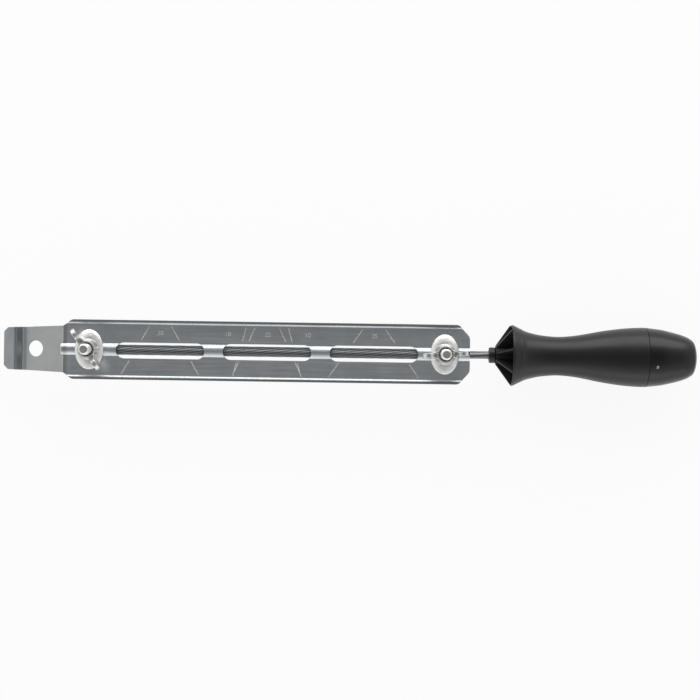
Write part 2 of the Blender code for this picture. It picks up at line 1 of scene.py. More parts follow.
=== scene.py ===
"""Looks of a chainsaw file guide, modelled round its fixed frame and laid out as an add-on.

A pressed and zinc plated guide plate carries a spiral-cut round file under its ridge. Two eye
bolts, saddle washers, flat washers and wing nuts clamp it, and a ribbed plastic handle sits on
the file's tang. Metres, +Z up. The file's axis runs along X, the plate's tang at -X.
"""

import math

import bmesh
import bpy
from bpy.props import FloatProperty, FloatVectorProperty, IntProperty, PointerProperty
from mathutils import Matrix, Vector


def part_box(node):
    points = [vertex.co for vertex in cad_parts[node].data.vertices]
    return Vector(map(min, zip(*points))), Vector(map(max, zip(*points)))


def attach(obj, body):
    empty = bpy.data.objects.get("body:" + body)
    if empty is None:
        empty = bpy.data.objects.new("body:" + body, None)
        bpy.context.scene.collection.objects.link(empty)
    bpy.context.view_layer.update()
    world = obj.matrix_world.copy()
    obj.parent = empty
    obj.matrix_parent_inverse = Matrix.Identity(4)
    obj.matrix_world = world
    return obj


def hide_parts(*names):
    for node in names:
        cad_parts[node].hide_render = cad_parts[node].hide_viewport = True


bl_info = {
    "name": "Chainsaw File Guide",
    "version": (1, 0, 0),
    "blender": (4, 5, 0),
    "location": "View3D > Sidebar > File Guide",
    "description": "Models the pressed guide plate, its clamps, the round file and the handle",
    "category": "Add Mesh",
}

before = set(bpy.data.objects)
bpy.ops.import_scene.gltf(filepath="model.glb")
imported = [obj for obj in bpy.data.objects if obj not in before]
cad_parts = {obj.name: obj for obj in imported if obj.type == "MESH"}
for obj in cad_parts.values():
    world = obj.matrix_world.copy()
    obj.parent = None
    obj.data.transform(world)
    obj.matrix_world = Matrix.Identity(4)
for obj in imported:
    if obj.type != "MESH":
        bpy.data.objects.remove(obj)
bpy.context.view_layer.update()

# Places read from the frame
plate_low, plate_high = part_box("guide_plate")
grip_low, grip_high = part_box("handle_grip")
cap_low, cap_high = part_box("handle_end_cap")
file_low, file_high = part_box("round_file")
saddle_low, saddle_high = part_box("front_saddle_washer")
washer_low, washer_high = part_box("front_flat_washer")
nut_low, nut_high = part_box("front_wing_nut")
bolt_low, bolt_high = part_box("front_eye_bolt")
AXIS_HEIGHT = (grip_low.z + grip_high.z) / 2
PLATE_REAR = plate_high.x
CLAMPS = ("front", "rear")

# Fits, and distances that only keep a cut or a merge clean or make a tool long enough
GAP = 0.0003
OVERRUN = 0.003
SLIVER = 0.00005
BLANK_DEPTH = 0.02
DOT = 0.000001
WELD = 0.0000005

# Angle past which faces meet in an edge to be rounded, and the largest face of a sheared edge
EDGE_ANGLE = math.radians(50)
EDGE_FACE = 0.00002


def linear(code):
    """An sRGB hex colour as linear red, green and blue."""
    shares = [int(code[i:i + 2], 16) / 255 for i in (1, 3, 5)]
    return [s / 12.92 if s <= 0.04045 else ((s + 0.055) / 1.055) ** 2.4 for s in shares]


def length(name, default, description):
    """A length in the scene's unit."""
    return FloatProperty(
        name=name, description=description, default=default, min=0, precision=5, unit="LENGTH"
    )


def share(name, default, description):
    """A share of another size."""
    return FloatProperty(name=name, description=description, default=default, min=0, max=1)


def angle(name, degrees, description):
    """An angle, shown in degrees."""
    return FloatProperty(
        name=name, description=description, default=math.radians(degrees), subtype="ANGLE"
    )


def count(name, default, description):
    """A whole number of like features."""
    return IntProperty(name=name, description=description, default=default, min=1)


def colour(name, code, description):
    """A surface colour, written as sRGB hex and kept linear."""
    return FloatVectorProperty(
        name=name, description=description, default=linear(code), min=0, max=1, subtype="COLOR"
    )


class GuidePlateSizes(bpy.types.PropertyGroup):
    """Sizes of the pressed plate."""

    sheet: length("Sheet", 0.0012, "Thickness of the sheet")
    run: length("Length", 0.1903, "Length of the level part")
    rail: length("Rail", 0.0026, "Height of a rail above the flat")
    rail_bend: length("Rail bend", 0.0010, "Inner radius where the rail turns up")
    channel: length("Channel", 0.0027, "Inner radius of the ridge over the file")
    foot: length("Ridge foot", 0.0006, "Upper radius where the ridge rises from the flat")
    nose: length("Ridge nose", 0.0017, "How far the ridge's closed end runs out over the tang")
    nose_edge: length("Nose rounding", 0.0011, "Rounding of the ridge's closed end")
    nose_share: share("Nose share", 0.90, "How narrow the ridge's end is against the ridge")
    nose_root: share("Nose root", 0.93, "How narrow the nose's hidden root is against the nose")
    front_corner: length("Front corner", 0.0045, "Length of the slant between tang and rail")
    rear_corner_run: length("Rear corner length", 0.0053, "Length of the slant at the rear")
    rear_corner_span: length("Rear corner width", 0.0058, "Width of the slant at the rear")
    rounding: length("Corner rounding", 0.0035, "Radius at both ends of a corner's slant")
    edge: length("Edge rounding", 0.00014, "Radius that tumbling leaves on the sheared edges")
    tang_root: length("Tang root", 0.0219, "Width of the tang where it leaves the plate")
    tang_tip: length("Tang tip", 0.0197, "Width of the tang's lip")
    slope: angle("Tang slope", 14, "Fall of the tang")
    # Width of the band of painted shade on the flat beside the tang's fold
    slope_run: length("Slope length", 0.0179, "Length of the slope seen from above")
    fold_shade_band: length("Fold band", 0.0022, "Width of the duller flat beside the tang's fold")
    trough_run: length("Trough length", 0.0021, "Length of the level trough below the slope")
    step_run: length("Step length", 0.0027, "Length of the step up to the lip")
    step_rise: length("Step rise", 0.0040, "Height of the step up to the lip")
    lip_run: length("Lip length", 0.00525, "Length of the lip")
    lip_fall: length("Lip fall", 0.0012, "How far the lip falls to its end")
    lip_corner: length("Lip corner", 0.0019, "Size of the lip's cut corners")
    tang_bend: length("Tang bend", 0.0009, "Radius of the tang's bends")
    hang_hole: length("Hang hole", 0.0076, "Diameter of the hang hole")
    hang_place: length("Hang hole place", 0.0135, "Distance of the hang hole from the plate")


class WindowSizes(bpy.types.PropertyGroup):
    """Sizes of the windows, and of what is stamped beside them."""

    run: length("Length", 0.0414, "Length of a window")
    span: length("Width", 0.0074, "Width of a window")
    corner: length("End radius", 0.0036, "Radius of a window's ends")
    pitch: length("Pitch", 0.0500, "Distance between two windows")
    side_shift: length("Side shift", 0.0003, "How far the windows lie off the middle")
    shift: length("Shift", 0.00025, "How far windows and lines lie behind the plate's middle")
    mark_width: length("Line width", 0.00040, "Width of a stamped line")
    mark_depth: length("Line depth", 0.00012, "Depth of a stamped line")
    mark_near: length("Line start", 0.0048, "Distance of a line's inner end from the middle")
    mark_far: length("Line end", 0.0113, "Distance of a line's outer end from the middle")
    numeral: length("Numeral", 0.0030, "Size of the stamped angle numerals")
    numeral_place: length("Numeral place", 0.0080, "Distance of the numerals from the middle")


class ClampSizes(bpy.types.PropertyGroup):
    """Sizes of the eye bolts, the washers and the wing nuts."""

    stud: length("Stud", 0.0050, "Outer diameter of the thread")
    pitch: length("Pitch", 0.0008, "Rise of the thread in one turn")
    chamfer: length("Stud chamfer", 0.0007, "Chamfer at the stud's top")
    eye_play: length("Eye play", 0.0008, "Play of the file in the eye")
    eye_edge: length("Eye rounding", 0.0008, "Rounding of the eye's outer edges")
    sheet: length("Saddle sheet", 0.0010, "Thickness of the saddle washer's sheet")
    crown_run: length("Saddle crown length", 0.0030, "Half length of the saddle's flat crown")
    crown_span: length("Saddle crown width", 0.0042, "Half width of the saddle's flat crown")
    dome_fall: length("Saddle dome height", 0.0018, "Fall of the saddle's dome to its skirt")
    cone: share("Saddle cone", 0.60, "Share of the fall that is straight and not domed")
    dome: angle("Saddle dome", 40, "How far the saddle washer's dome turns down at its rim")
    washer_edge: length("Washer edge", 0.0002, "Rounding of the stamped washer's edges")
    hub_base: length("Hub base", 0.0100, "Diameter of the nut's foot")
    hub_top: length("Hub top", 0.0078, "Diameter of the nut's top")
    hub_rise: length("Hub height", 0.0050, "Height of the nut's hub")
    hub_foot: length("Hub foot", 0.0009, "Height of the hub's straight foot")
    wing_tip: length("Wing tip", 0.0030, "Radius of a wing's tip")
    wing_span: length("Wing span", 0.0220, "Distance between the tips of both wings")
    wing_root: length("Wing root", 0.0034, "Thickness of a wing at the hub")
    wing_rim: length("Wing rim", 0.0020, "Thickness of a wing at its tip")
    casting_grain: length("Casting grain", 0.00014, "Mesh size of the cast nuts")
    front_turn: angle("Front nut", 125, "Where the front wing nut stands")
    rear_turn: angle("Rear nut", 4, "Where the rear wing nut stands")


class FileSizes(bpy.types.PropertyGroup):
    """Sizes of the round file."""

    across: length("Diameter", 0.0048, "Diameter over the teeth")
    cut_run: length("Cut length", 0.1893, "Length of the cut body")
    cut_depth: length("Cut depth", 0.00022, "Depth of the spiral cut")
    starts: count("Starts", 12, "Teeth round the file")
    lead: angle("Cut angle", 9.7, "Lean of the teeth from the file's axis")
    end_chamfer: length("End chamfer", 0.0005, "Chamfer at the file's end")
    neck: length("Neck", 0.0038, "Diameter of the smooth neck")
    neck_run: length("Neck length", 0.0110, "Length of the smooth neck")
    taper: length("Taper", 0.0012, "Length of the run from the cut to the neck")
    tang_tip: length("Tang tip", 0.0016, "Diameter of the tang's tip")


class HandleSizes(bpy.types.PropertyGroup):
    """Sizes of the moulded grip and its end cap."""

    collar: length("Collar", 0.0074, "Diameter of the collar at the file")
    collar_run: length("Collar length", 0.0030, "Length of the collar")
    core: length("Core", 0.0086, "Diameter of the core inside the bell")
    rim_bead: length("Rim bead", 0.0008, "Thickness of the bell's rim")
    crease: length("Crease place", 0.0140, "Distance of the rim's rear crease from the front")
    crease_depth: length("Crease depth", 0.00009, "Depth of the rim's rear crease")
    waist: length("Waist", 0.0182, "Diameter of the waist")
    belly: length("Belly", 0.0278, "Diameter of the belly")
    cone: length("Bell cone", 0.0103, "Distance of the rim from the grip's front")
    waist_place: length("Waist place", 0.0331, "Distance of the waist from the front")
    belly_place: length("Belly place", 0.0700, "Distance of the belly from the front")
    wall: length("Wall", 0.0022, "Wall of the moulding")
    floor_place: length("Bell floor", 0.0236, "Depth of the bell's floor")
    socket_end: length("Socket end", 0.0400, "Depth of the file tang's socket")
    ribs: count("Ribs", 8, "Ribs in the bell")
    rib: length("Rib", 0.0009, "Thickness of a rib")
    rib_corner: length("Rib corner", 0.0099, "Distance of the ribs' outer corners from the front")
    rib_turn: angle("Rib turn", 12, "Where the first rib stands")
    seam_edge: length("Seam rounding", 0.0002, "Rounding of both edges at the cap's seam")
    spigot: length("Spigot", 0.0018, "Wall of the cap's spigot")
    gate: length("Gate mark", 0.0007, "Radius of the nub that the moulding gate leaves")
    gate_rise: length("Gate height", 0.0003, "How far the nub stands proud")
    gate_place: length("Gate place", 0.0037, "Distance of the nub from the cap's seam")
    gate_side: length("Gate side", 0.0042, "Distance of the nub from the cap's middle")


class Finishes(bpy.types.PropertyGroup):
    """Colours of the surfaces."""

    zinc_pale: colour("Zinc, pale", "#D9DEE1", "Lighter patches of the plated sheet")
    zinc_deep: colour("Zinc, deep", "#BCC2C6", "Deeper patches of the plated sheet")
    # Painted shade: the step up to the tang's lip is coloured far darker than the sheet, in two tones
    # at random
    step_shade_pale: colour("Bend, pale", "#8E9295", "Lighter patches where the press dulled a bend")
    step_shade_deep: colour("Bend, deep", "#7A7E81", "Deeper patches where the press dulled a bend")
    # Painted shade, multiplied into the sheet's colour: slightly darker over the tang's slope, darker
    # on a band of the flat past its fold
    tang_painted_shade: colour("Tang wear", "#F2F0EA", "Tint of the sheet's tang, which hands have dulled")
    fold_painted_shade: colour("Fold wear", "#DFDCDA", "Tint of the flat beside the tang's fold")
    sheared: colour("Sheared edge", "#8A8A8C", "Sheared edges of the sheet")
    stamped: colour("Stamped line", "#E4E4E4", "Burnished bottoms of the stamped lines")
    bright: colour("Bright zinc", "#ECECEA", "Bright plated hardware")
    bright_deep: colour("Bright zinc, deep", "#CACAC8", "Duller patches of the hardware")
    # Painted highlight on the tooth crests and painted shade in the gullets
    file_crest_highlight: colour("File teeth", "#8C8F92", "Crests of the file's teeth")
    file_gullet_shade: colour("File gullets", "#606366", "Gullets of the file's teeth")
    neck: colour("File neck", "#787A7C", "Smooth neck and tang of the file")
    plastic: colour("Plastic", "#151515", "Moulded grip")
    cap_plastic: colour("Cap plastic", "#070707", "Moulded end cap")
    # Painted highlight: the gate nub is coloured pale so that it shows as a glint
    gate_highlight_plastic: colour("Gate plastic", "#8E8E8C", "Plastic that whitened where the gate broke")
    # Darker inside the bell's hollow as painted shade; the rougher finish there is the unpolished core
    bell_shade_plastic: colour("Bell plastic", "#0A0A0A", "Unpolished inside of the grip's bell")


class StageSettings(bpy.types.PropertyGroup):
    """Camera, lamps and floor."""

    distance: length("Camera distance", 0.7485, "Height of the camera above the file's axis")
    lens: FloatProperty(name="Lens", description="Focal length", default=82.0, unit="CAMERA")
    view_x: length("View place", -0.00028, "Where the camera stands along the tool")
    view_y: length("View side", 0.00146, "Where the camera stands across the tool")
    roll: angle("Camera roll", 0.85, "Turn of the camera about its own line of sight")
    left_light: FloatProperty(name="Left light", description="Lamp at +Y, watts", default=8.0)
    right_light: FloatProperty(name="Right light", description="Lamp at -Y, watts", default=1.5)
    zenith: FloatProperty(name="Zenith", description="Sky strength overhead", default=0.20)
    horizon: FloatProperty(name="Horizon", description="Sky strength at the floor", default=1.0)
    far_end: FloatProperty(name="Far end", description="Share of the sky left at +X", default=0.85)
    floor: colour("Floor", "#F4F4F4", "Pale studio floor")


def select_only(piece):
    """Leaves edit mode and makes one piece selected and active."""
    if bpy.context.object and bpy.context.object.mode == "EDIT":
        bpy.ops.object.mode_set(mode="OBJECT")
    bpy.ops.object.select_all(action="DESELECT")
    if piece:
        piece.select_set(True)
        bpy.context.view_layer.objects.active = piece


def select_mesh():
    """In edit mode, selects the whole mesh by its vertices."""
    bpy.ops.mesh.select_mode(type="VERT")
    bpy.ops.mesh.select_all(action="SELECT")


def edit(piece):
    """Takes one piece into edit mode with its whole mesh selected."""
    select_only(piece)
    bpy.ops.object.mode_set(mode="EDIT")
    select_mesh()


def start(name):
    """Takes up the primitive that was just added: names it and puts its place in its mesh."""
    piece = bpy.context.object
    piece.name = name
    bpy.ops.object.transform_apply(location=True, rotation=True, scale=True)
    edit(piece)
    return piece


def choose(kind, test):
    """In edit mode, selects the vertices, edges or faces that pass a test."""
    bpy.ops.mesh.select_mode(type=kind)
    bpy.ops.mesh.select_all(action="DESELECT")
    mesh = bpy.context.edit_object.data
    bm = bmesh.from_edit_mesh(mesh)
    for item in {"VERT": bm.verts, "EDGE": bm.edges, "FACE": bm.faces}[kind]:
        if test(item):
            item.select_set(True)
    bm.select_flush_mode()
    bmesh.update_edit_mesh(mesh)


def close_up():
    """Merges doubles, turns the faces outwards and leaves edit mode."""
    select_mesh()
    bpy.ops.mesh.remove_doubles(threshold=WELD)
    bpy.ops.mesh.normals_make_consistent(inside=False)
    bpy.ops.object.mode_set(mode="OBJECT")


def extrude(step):
    """Extrudes what is selected along a step."""
    bpy.ops.mesh.extrude_region_move(TRANSFORM_OT_translate={"value": Vector(step)})


def resize(shares, centre):
    """Scales what is selected about a centre."""
    bpy.ops.transform.resize(value=shares, center_override=centre)


def slice_off(place, way, **side):
    """Cuts the whole mesh with a plane, takes one side away and fills the cut."""
    select_mesh()
    bpy.ops.mesh.bisect(plane_co=place, plane_no=way, use_fill=True, threshold=WELD, **side)


def drawn(name, points):
    """A line drawn by extruding one point of a small plane from place to place."""
    select_only(None)
    bpy.ops.mesh.primitive_plane_add(size=DOT, location=points[0])
    piece = start(name)
    bpy.ops.mesh.merge(type="CENTER")
    for here, there in zip(points, points[1:]):
        extrude(Vector(there) - Vector(here))
    return piece


def prism(name, outline, step):
    """A closed outline, filled and extruded into a solid."""
    piece = drawn(name, outline + outline[:1])
    select_mesh()
    bpy.ops.mesh.remove_doubles(threshold=WELD)
    bpy.ops.mesh.edge_face_add()
    extrude(step)
    close_up()
    return piece


def turned(name, profile, steps, centre=(0, 0, 0), axis=(0, 0, 1)):
    """A profile spun once round an axis."""
    piece = drawn(name, profile)
    select_mesh()
    bpy.ops.mesh.spin(steps=steps, angle=math.tau, center=centre, axis=axis)
    close_up()
    return piece


def cylinder(name, radius, depth, place, tilt=0, vertices=96):
    """Starts a cylinder that stands upright, or is tilted about Y."""
    select_only(None)
    bpy.ops.mesh.primitive_cylinder_add(
        vertices=vertices, radius=radius, depth=depth, location=place, rotation=(0, tilt, 0)
    )
    return start(name)


def apply_modifier(piece, kind, **settings):
    """Adds one modifier with its settings and applies it."""
    select_only(piece)
    modifier = piece.modifiers.new(kind.title(), kind)
    for name, value in settings.items():
        setattr(modifier, name, value)
    bpy.ops.object.modifier_apply(modifier=modifier.name)


def combine(piece, tool, operation):
    """Cuts one solid from another, or joins them, and clears the tool away."""
    apply_modifier(piece, "BOOLEAN", operation=operation, solver="EXACT", object=tool)
    bpy.data.objects.remove(tool, do_unlink=True)
    if not piece.data.polygons:
        raise RuntimeError(f"{piece.name} lost all its faces")


def drill(piece, radius, depth, place, tilt, vertices=96):
    """Cuts a cylinder from a piece."""
    tool = cylinder("drill", radius, depth, place, tilt, vertices)
    close_up()
    combine(piece, tool, "DIFFERENCE")


def gather(pieces):
    """Joins several objects into the first."""
    select_only(pieces[0])
    for piece in pieces[1:]:
        piece.select_set(True)
    bpy.ops.object.join()


def shift(piece, step):
    """Moves a finished mesh, its object staying at the origin."""
    select_only(piece)
    bpy.ops.transform.translate(value=step)
    bpy.ops.object.transform_apply(location=True, rotation=False, scale=False)


def swing(piece, turn, axis):
    """Turns a mesh about an axis through the origin, anticlockwise as seen from the axis's tip."""
    edit(piece)
    bpy.ops.transform.rotate(value=-turn, orient_axis=axis, center_override=(0, 0, 0))
    bpy.ops.object.mode_set(mode="OBJECT")


def twin(piece, name):
    """A copy with a mesh of its own."""
    select_only(piece)
    bpy.ops.object.duplicate(linked=False)
    bpy.context.object.name = name
    return bpy.context.object


def paint(piece, names, *tests):
    """Gives a piece its materials, each after the first on the faces that pass its test."""
    for name in names:
        piece.data.materials.append(bpy.data.materials[name])
    edit(piece)
    for index, test in enumerate(tests, 1):
        choose("FACE", test)
        piece.active_material_index = index
        bpy.ops.object.material_slot_assign()


def arc(centre, radius, first, last, steps):
    """Points of an arc in a plane, both ends included, angles in degrees."""
    points = []
    for i in range(steps + 1):
        turn = math.radians(first + (last - first) * i / steps)
        points.append((centre[0] + radius * math.cos(turn), centre[1] + radius * math.sin(turn)))
    return points


def smooth_curve(points, steps):
    """A Catmull-Rom curve through the points of a plane."""
    curve = []
    for k in range(len(points) - 1):
        before, here = Vector(points[max(k - 1, 0)]), Vector(points[k])
        there, after = Vector(points[k + 1]), Vector(points[min(k + 2, len(points) - 1)])
        for i in range(steps):
            t = i / steps
            pull = (there - before) * t + (before * 2 - here * 5 + there * 4 - after) * t * t
            bend = (here * 3 - before - there * 3 + after) * t ** 3
            curve.append(tuple(here + (pull + bend) / 2))
    return curve + [tuple(points[-1])]


def rounded_path(path, radius, steps):
    """A path through the points of a plane, with each inner corner rounded."""
    line = [Vector(path[0])]
    for before, corner, after in zip(path, path[1:], path[2:]):
        corner = Vector(corner)
        back = (Vector(before) - corner).normalized()
        ahead = (Vector(after) - corner).normalized()
        setback = radius / math.tan(back.angle(ahead) / 2)
        begin, end = corner + back * setback, corner + ahead * setback
        for i in range(steps + 1):
            t = i / steps
            line.append(begin * (1 - t) ** 2 + corner * 2 * t * (1 - t) + end * t * t)
    return [tuple(point) for point in line + [Vector(path[-1])]]


def finish_piece(piece, body, nodes, sharp=35):
    """Shades a finished piece and gives it its body and the nodes it stands for."""
    select_only(piece)
    bpy.ops.object.shade_smooth_by_angle(angle=math.radians(sharp))
    apply_modifier(piece, "WEIGHTED_NORMAL", keep_sharp=True, weight=80)
    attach(piece, body)
    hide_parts(*nodes)


def add_node(tree, kind, inputs=None, links=None, **settings):
    """Adds a node with its settings, its values and its links."""
    node = tree.nodes.new("ShaderNode" + kind)
    for name, value in settings.items():
        setattr(node, name, value)
    for name, value in (inputs or {}).items():
        node.inputs[name].default_value = value
    for name, source in (links or {}).items():
        tree.links.new(source, node.inputs[name])
    return node


def new_material(name, base, metallic, roughness):
    """A Principled BSDF with its plain values, and its node tree, ready for a pattern."""
    material = bpy.data.materials.new(name)
    material.use_nodes = True
    material.diffuse_color = (*base, 1)
    inputs = material.node_tree.nodes["Principled BSDF"].inputs
    inputs["Base Color"].default_value = (*base, 1)
    inputs["Metallic"].default_value = metallic
    inputs["Roughness"].default_value = roughness
    return material.node_tree


def drive(tree, source, socket):
    """Lets a node's output drive one of the shader's sockets."""
    tree.links.new(source, tree.nodes["Principled BSDF"].inputs[socket])


def mottle(tree, spot, size, detail, satin, span=(0.3, 0.7)):
    """Varies the roughness with noise of one patch size, and returns that noise."""
    values = {"Scale": 1 / size, "Detail": detail}
    noise = add_node(tree, "TexNoise", values, {"Vector": spot}).outputs["Fac"]
    values = {"From Min": span[0], "From Max": span[1], "To Min": satin[0], "To Max": satin[1]}
    rough = add_node(tree, "MapRange", values, {"Value": noise})
    drive(tree, rough.outputs["Result"], "Roughness")
    return noise


def roughen(tree, spot, size, detail, strength, depth):
    """Raises noise of one grain size from the surface."""
    values = {"Scale": 1 / size, "Detail": detail}
    noise = add_node(tree, "TexNoise", values, {"Vector": spot}).outputs["Fac"]
    values = {"Strength": strength, "Distance": depth}
    relief = add_node(tree, "Bump", values, {"Height": noise})
    drive(tree, relief.outputs["Normal"], "Normal")


def paint_tang_shade(tree, spot, shade):
    """Painted shade on the tang, by its place along the plate, with a darker painted band past the
    fold.
    """
    sizes, finishes = bpy.context.scene.guide_plate, bpy.context.scene.guide_finishes
    place = add_node(tree, "SeparateXYZ", None, {"Vector": spot}).outputs["X"]
    low = on_plate(sizes, -sizes.run / 2 - sizes.slope_run, 0, 0).x
    high = on_plate(sizes, sizes.fold_shade_band - sizes.run / 2, 0, 0).x
    reach = add_node(tree, "MapRange", {"From Min": low, "From Max": high}, {"Value": place})
    painted_shade = add_node(tree, "ValToRGB", None, {"Fac": reach.outputs["Result"]})
    fold = sizes.slope_run / (high - low)
    # Painted shade: slightly darker along the tang's slope, darker on a band of the flat past the
    # fold, plain sheet elsewhere
    plain, blur = (1, 1, 1), 0.01
    stops = [(0, plain), (3 * blur, finishes.tang_painted_shade), (fold - blur, finishes.tang_painted_shade)]
    stops += [(fold + blur, finishes.fold_painted_shade), ((1 + fold) / 2, finishes.fold_painted_shade), (1, plain)]
    ramp = painted_shade.color_ramp
    while len(ramp.elements) < len(stops):
        ramp.elements.new(0.5)
    for element, (position, tint) in zip(ramp.elements, stops):
        element.position = position
        element.color = (*tint, 1)
    links = {6: shade, 7: painted_shade.outputs["Color"]}
    shaded = add_node(tree, "Mix", {0: 1}, links, data_type="RGBA", blend_type="MULTIPLY")
    return shaded.outputs[2]


def zinc_plated_sheet(name, pale, deep):
    """Cold rolled steel, pressed and zinc plated: an even grey satin with soft cloudy patches, and
    painted shade over the tang and past its fold.
    """
    tree = new_material(name, pale, 1.0, 0.34)
    spot = add_node(tree, "TexCoord").outputs["Object"]
    # Clouds of the plating bath, about 9 mm across
    values = {"Scale": 1 / 0.009, "Detail": 3.0}
    clouds = add_node(tree, "TexNoise", values, {"Vector": spot}).outputs["Fac"]
    tones = {6: (*deep, 1), 7: (*pale, 1)}
    shade = add_node(tree, "Mix", tones, {"Factor": clouds}, data_type="RGBA")
    # The colour takes the painted shade of the tang and of the band past its fold
    drive(tree, paint_tang_shade(tree, spot, shade.outputs[2]), "Base Color")
    # Rolling lines of the sheet, 25 mm long and drawn at 0.4 mm to show in the picture
    along = add_node(tree, "Mapping", {"Scale": (0.016, 1.0, 1.0)}, {"Vector": spot})
    mottle(tree, along.outputs["Vector"], 0.0004, 2.0, (0.29, 0.40))
    # Handling dents, 3 mm wide and a few microns deep
    roughen(tree, spot, 0.003, 1.0, 0.4, 0.00012)


def sheared_edge(finishes):
    """Sheared steel edge, thinly plated: darker and rougher than the rolled face."""
    tree = new_material("sheared sheet edge", finishes.sheared, 1.0, 0.5)
    spot = add_node(tree, "TexCoord").outputs["Object"]
    # Torn grain of the shear, drawn at 0.5 mm
    roughen(tree, spot, 0.0005, 2.0, 0.4, 0.00005)


def stamped_line(finishes):
    """Steel burnished by the stamp: a little paler than the plated sheet beside it."""
    tree = new_material("stamped line", finishes.stamped, 1.0, 0.5)
    spot = add_node(tree, "TexCoord").outputs["Object"]
    # Wear of the stamp, in patches of 2 mm
    mottle(tree, spot, 0.002, 2.0, (0.55, 0.75), (0.0, 1.0))


def bright_zinc(finishes):
    """Bright zinc plate on pressed and cast hardware: near white, with soft dimples."""
    tree = new_material("bright zinc plate", finishes.bright, 1.0, 0.22)
    spot = add_node(tree, "TexCoord").outputs["Object"]
    # Dull patches where pieces rubbed in the plating barrel, 2.5 mm across
    rubbed = mottle(tree, spot, 0.0025, 3.0, (0.36, 0.24))
    tones = {6: (*finishes.bright_deep, 1), 7: (*finishes.bright, 1)}
    shade = add_node(tree, "Mix", tones, {"Factor": rubbed}, data_type="RGBA")
    drive(tree, shade.outputs[2], "Base Color")
    # Dimples of barrel plating, 1.4 mm wide
    roughen(tree, spot, 0.0014, 1.5, 0.5, 0.00014)


def hardened_file_steel(finishes, neck_start):
    """Hardened file steel: painted shade in the gullets, a painted highlight on the tooth crests, and
    a smooth ground neck.
    """
    tree = new_material("hardened file steel", finishes.file_gullet_shade, 1.0, 0.42)
    spot = add_node(tree, "TexCoord").outputs["Object"]
    values = {"Location": (0, 0, -AXIS_HEIGHT), "Scale": (0, 1, 1)}
    centred = add_node(tree, "Mapping", values, {"Vector": spot}).outputs["Vector"]
    # Paler towards the crests and darker in the gullets, by distance from the axis: painted highlight
    # and painted shade
    reach = add_node(tree, "VectorMath", None, {0: centred}, operation="LENGTH")
    values = {"From Min": 0.00224, "From Max": 0.00240}
    crest_highlight = add_node(tree, "MapRange", values, {"Value": reach.outputs["Value"]})
    where = add_node(tree, "SeparateXYZ", None, {"Vector": spot}).outputs["X"]
    values = {"From Min": neck_start, "From Max": neck_start + 0.001}
    smooth = add_node(tree, "MapRange", values, {"Value": where}).outputs["Result"]
    tones = {6: (*finishes.file_gullet_shade, 1), 7: (*finishes.file_crest_highlight, 1)}
    links = {"Factor": crest_highlight.outputs["Result"]}
    teeth = add_node(tree, "Mix", tones, links, data_type="RGBA")
    links = {"Factor": smooth, 6: teeth.outputs[2]}
    shade = add_node(tree, "Mix", {7: (*finishes.neck, 1)}, links, data_type="RGBA")
    drive(tree, shade.outputs[2], "Base Color")
    satin = add_node(tree, "MapRange", {"To Min": 0.48, "To Max": 0.38}, {"Value": smooth})
    drive(tree, satin.outputs["Result"], "Roughness")
    # Chisel chatter on the teeth, drawn at 0.3 mm
    roughen(tree, spot, 0.0003, 1.0, 0.3, 0.00003)


def moulded_plastic(name, base, smooth, rough):
    """Injection moulded polypropylene: a low satin sheen with a fine even grain."""
    tree = new_material(name, base, 0.0, rough)
    inputs = tree.nodes["Principled BSDF"].inputs
    inputs["IOR"].default_value = 1.49
    # The fine grain swallows part of the gloss
    inputs["Specular IOR Level"].default_value = 0.42
    spot = add_node(tree, "TexCoord").outputs["Object"]
    # Flow of the melt, in patches of 12 mm
    mottle(tree, spot, 0.012, 4.0, (smooth, rough))
    # Spark-eroded grain of the mould, drawn at 0.6 mm
    roughen(tree, spot, 0.0006, 2.0, 0.25, 0.00005)


def on_plate(sizes, along, across, up):
    """A point of the plate, from the file's axis below the middle of its level part."""
    return Vector((PLATE_REAR - sizes.run / 2 + along, across, AXIS_HEIGHT + up))


def press_section(sizes):
    """The level part: half of its middle line drawn, extruded, mirrored and given the sheet."""
    half_sheet = sizes.sheet / 2
    flat_top = plate_high.z - AXIS_HEIGHT - sizes.rail
    ridge, foot = sizes.channel + half_sheet, sizes.foot + half_sheet
    foot_up = flat_top + sizes.foot
    foot_side = math.sqrt((ridge + foot) ** 2 - foot_up ** 2)
    foot_turn = math.degrees(math.atan2(foot_up, foot_side))
    bend = (plate_high.y - sizes.sheet - sizes.rail_bend, flat_top + sizes.rail_bend)
    line = arc((0, 0), ridge, 90, foot_turn, 14)
    line += arc((foot_side, foot_up), foot, foot_turn - 180, -90, 5)[1:]
    line += arc(bend, sizes.rail_bend + half_sheet, -90, 0, 7)
    line.append((plate_high.y - half_sheet, flat_top + sizes.rail))
    front = -sizes.run / 2
    piece = drawn("guide_plate_pressing", [on_plate(sizes, front, y, z) for y, z in line])
    select_mesh()
    level = on_plate(sizes, front, 0, flat_top - half_sheet)
    stub = saddle_low.x + sizes.sheet - level.x
    for run in (stub, sizes.nose, sizes.run - stub - sizes.nose):
        extrude((run, 0, 0))
    choose("VERT", lambda vert: vert.co.x < level.x + stub + DOT and vert.co.y < foot_side + DOT)
    resize((1, sizes.nose_share, sizes.nose_share), level)
    close_up()
    apply_modifier(piece, "MIRROR", use_axis=(False, True, False), merge_threshold=DOT, use_clip=True)
    apply_modifier(piece, "SOLIDIFY", thickness=sizes.sheet, offset=0, use_even_offset=True)
    return piece, flat_top


def tang_line(sizes, middle):
    """The tang's middle line from the side: slope, trough, step and lip."""
    front = -sizes.run / 2
    fall = sizes.slope_run * math.tan(sizes.slope)
    foot = (front - sizes.slope_run, middle - fall)
    trough = (foot[0] - sizes.trough_run, foot[1])
    lip = (trough[0] - sizes.step_run, trough[1] + sizes.step_rise)
    path = [(front + OVERRUN, middle), (front, middle), foot, trough, lip]
    return path + [(lip[0] - sizes.lip_run - OVERRUN, lip[1] - sizes.lip_fall)]


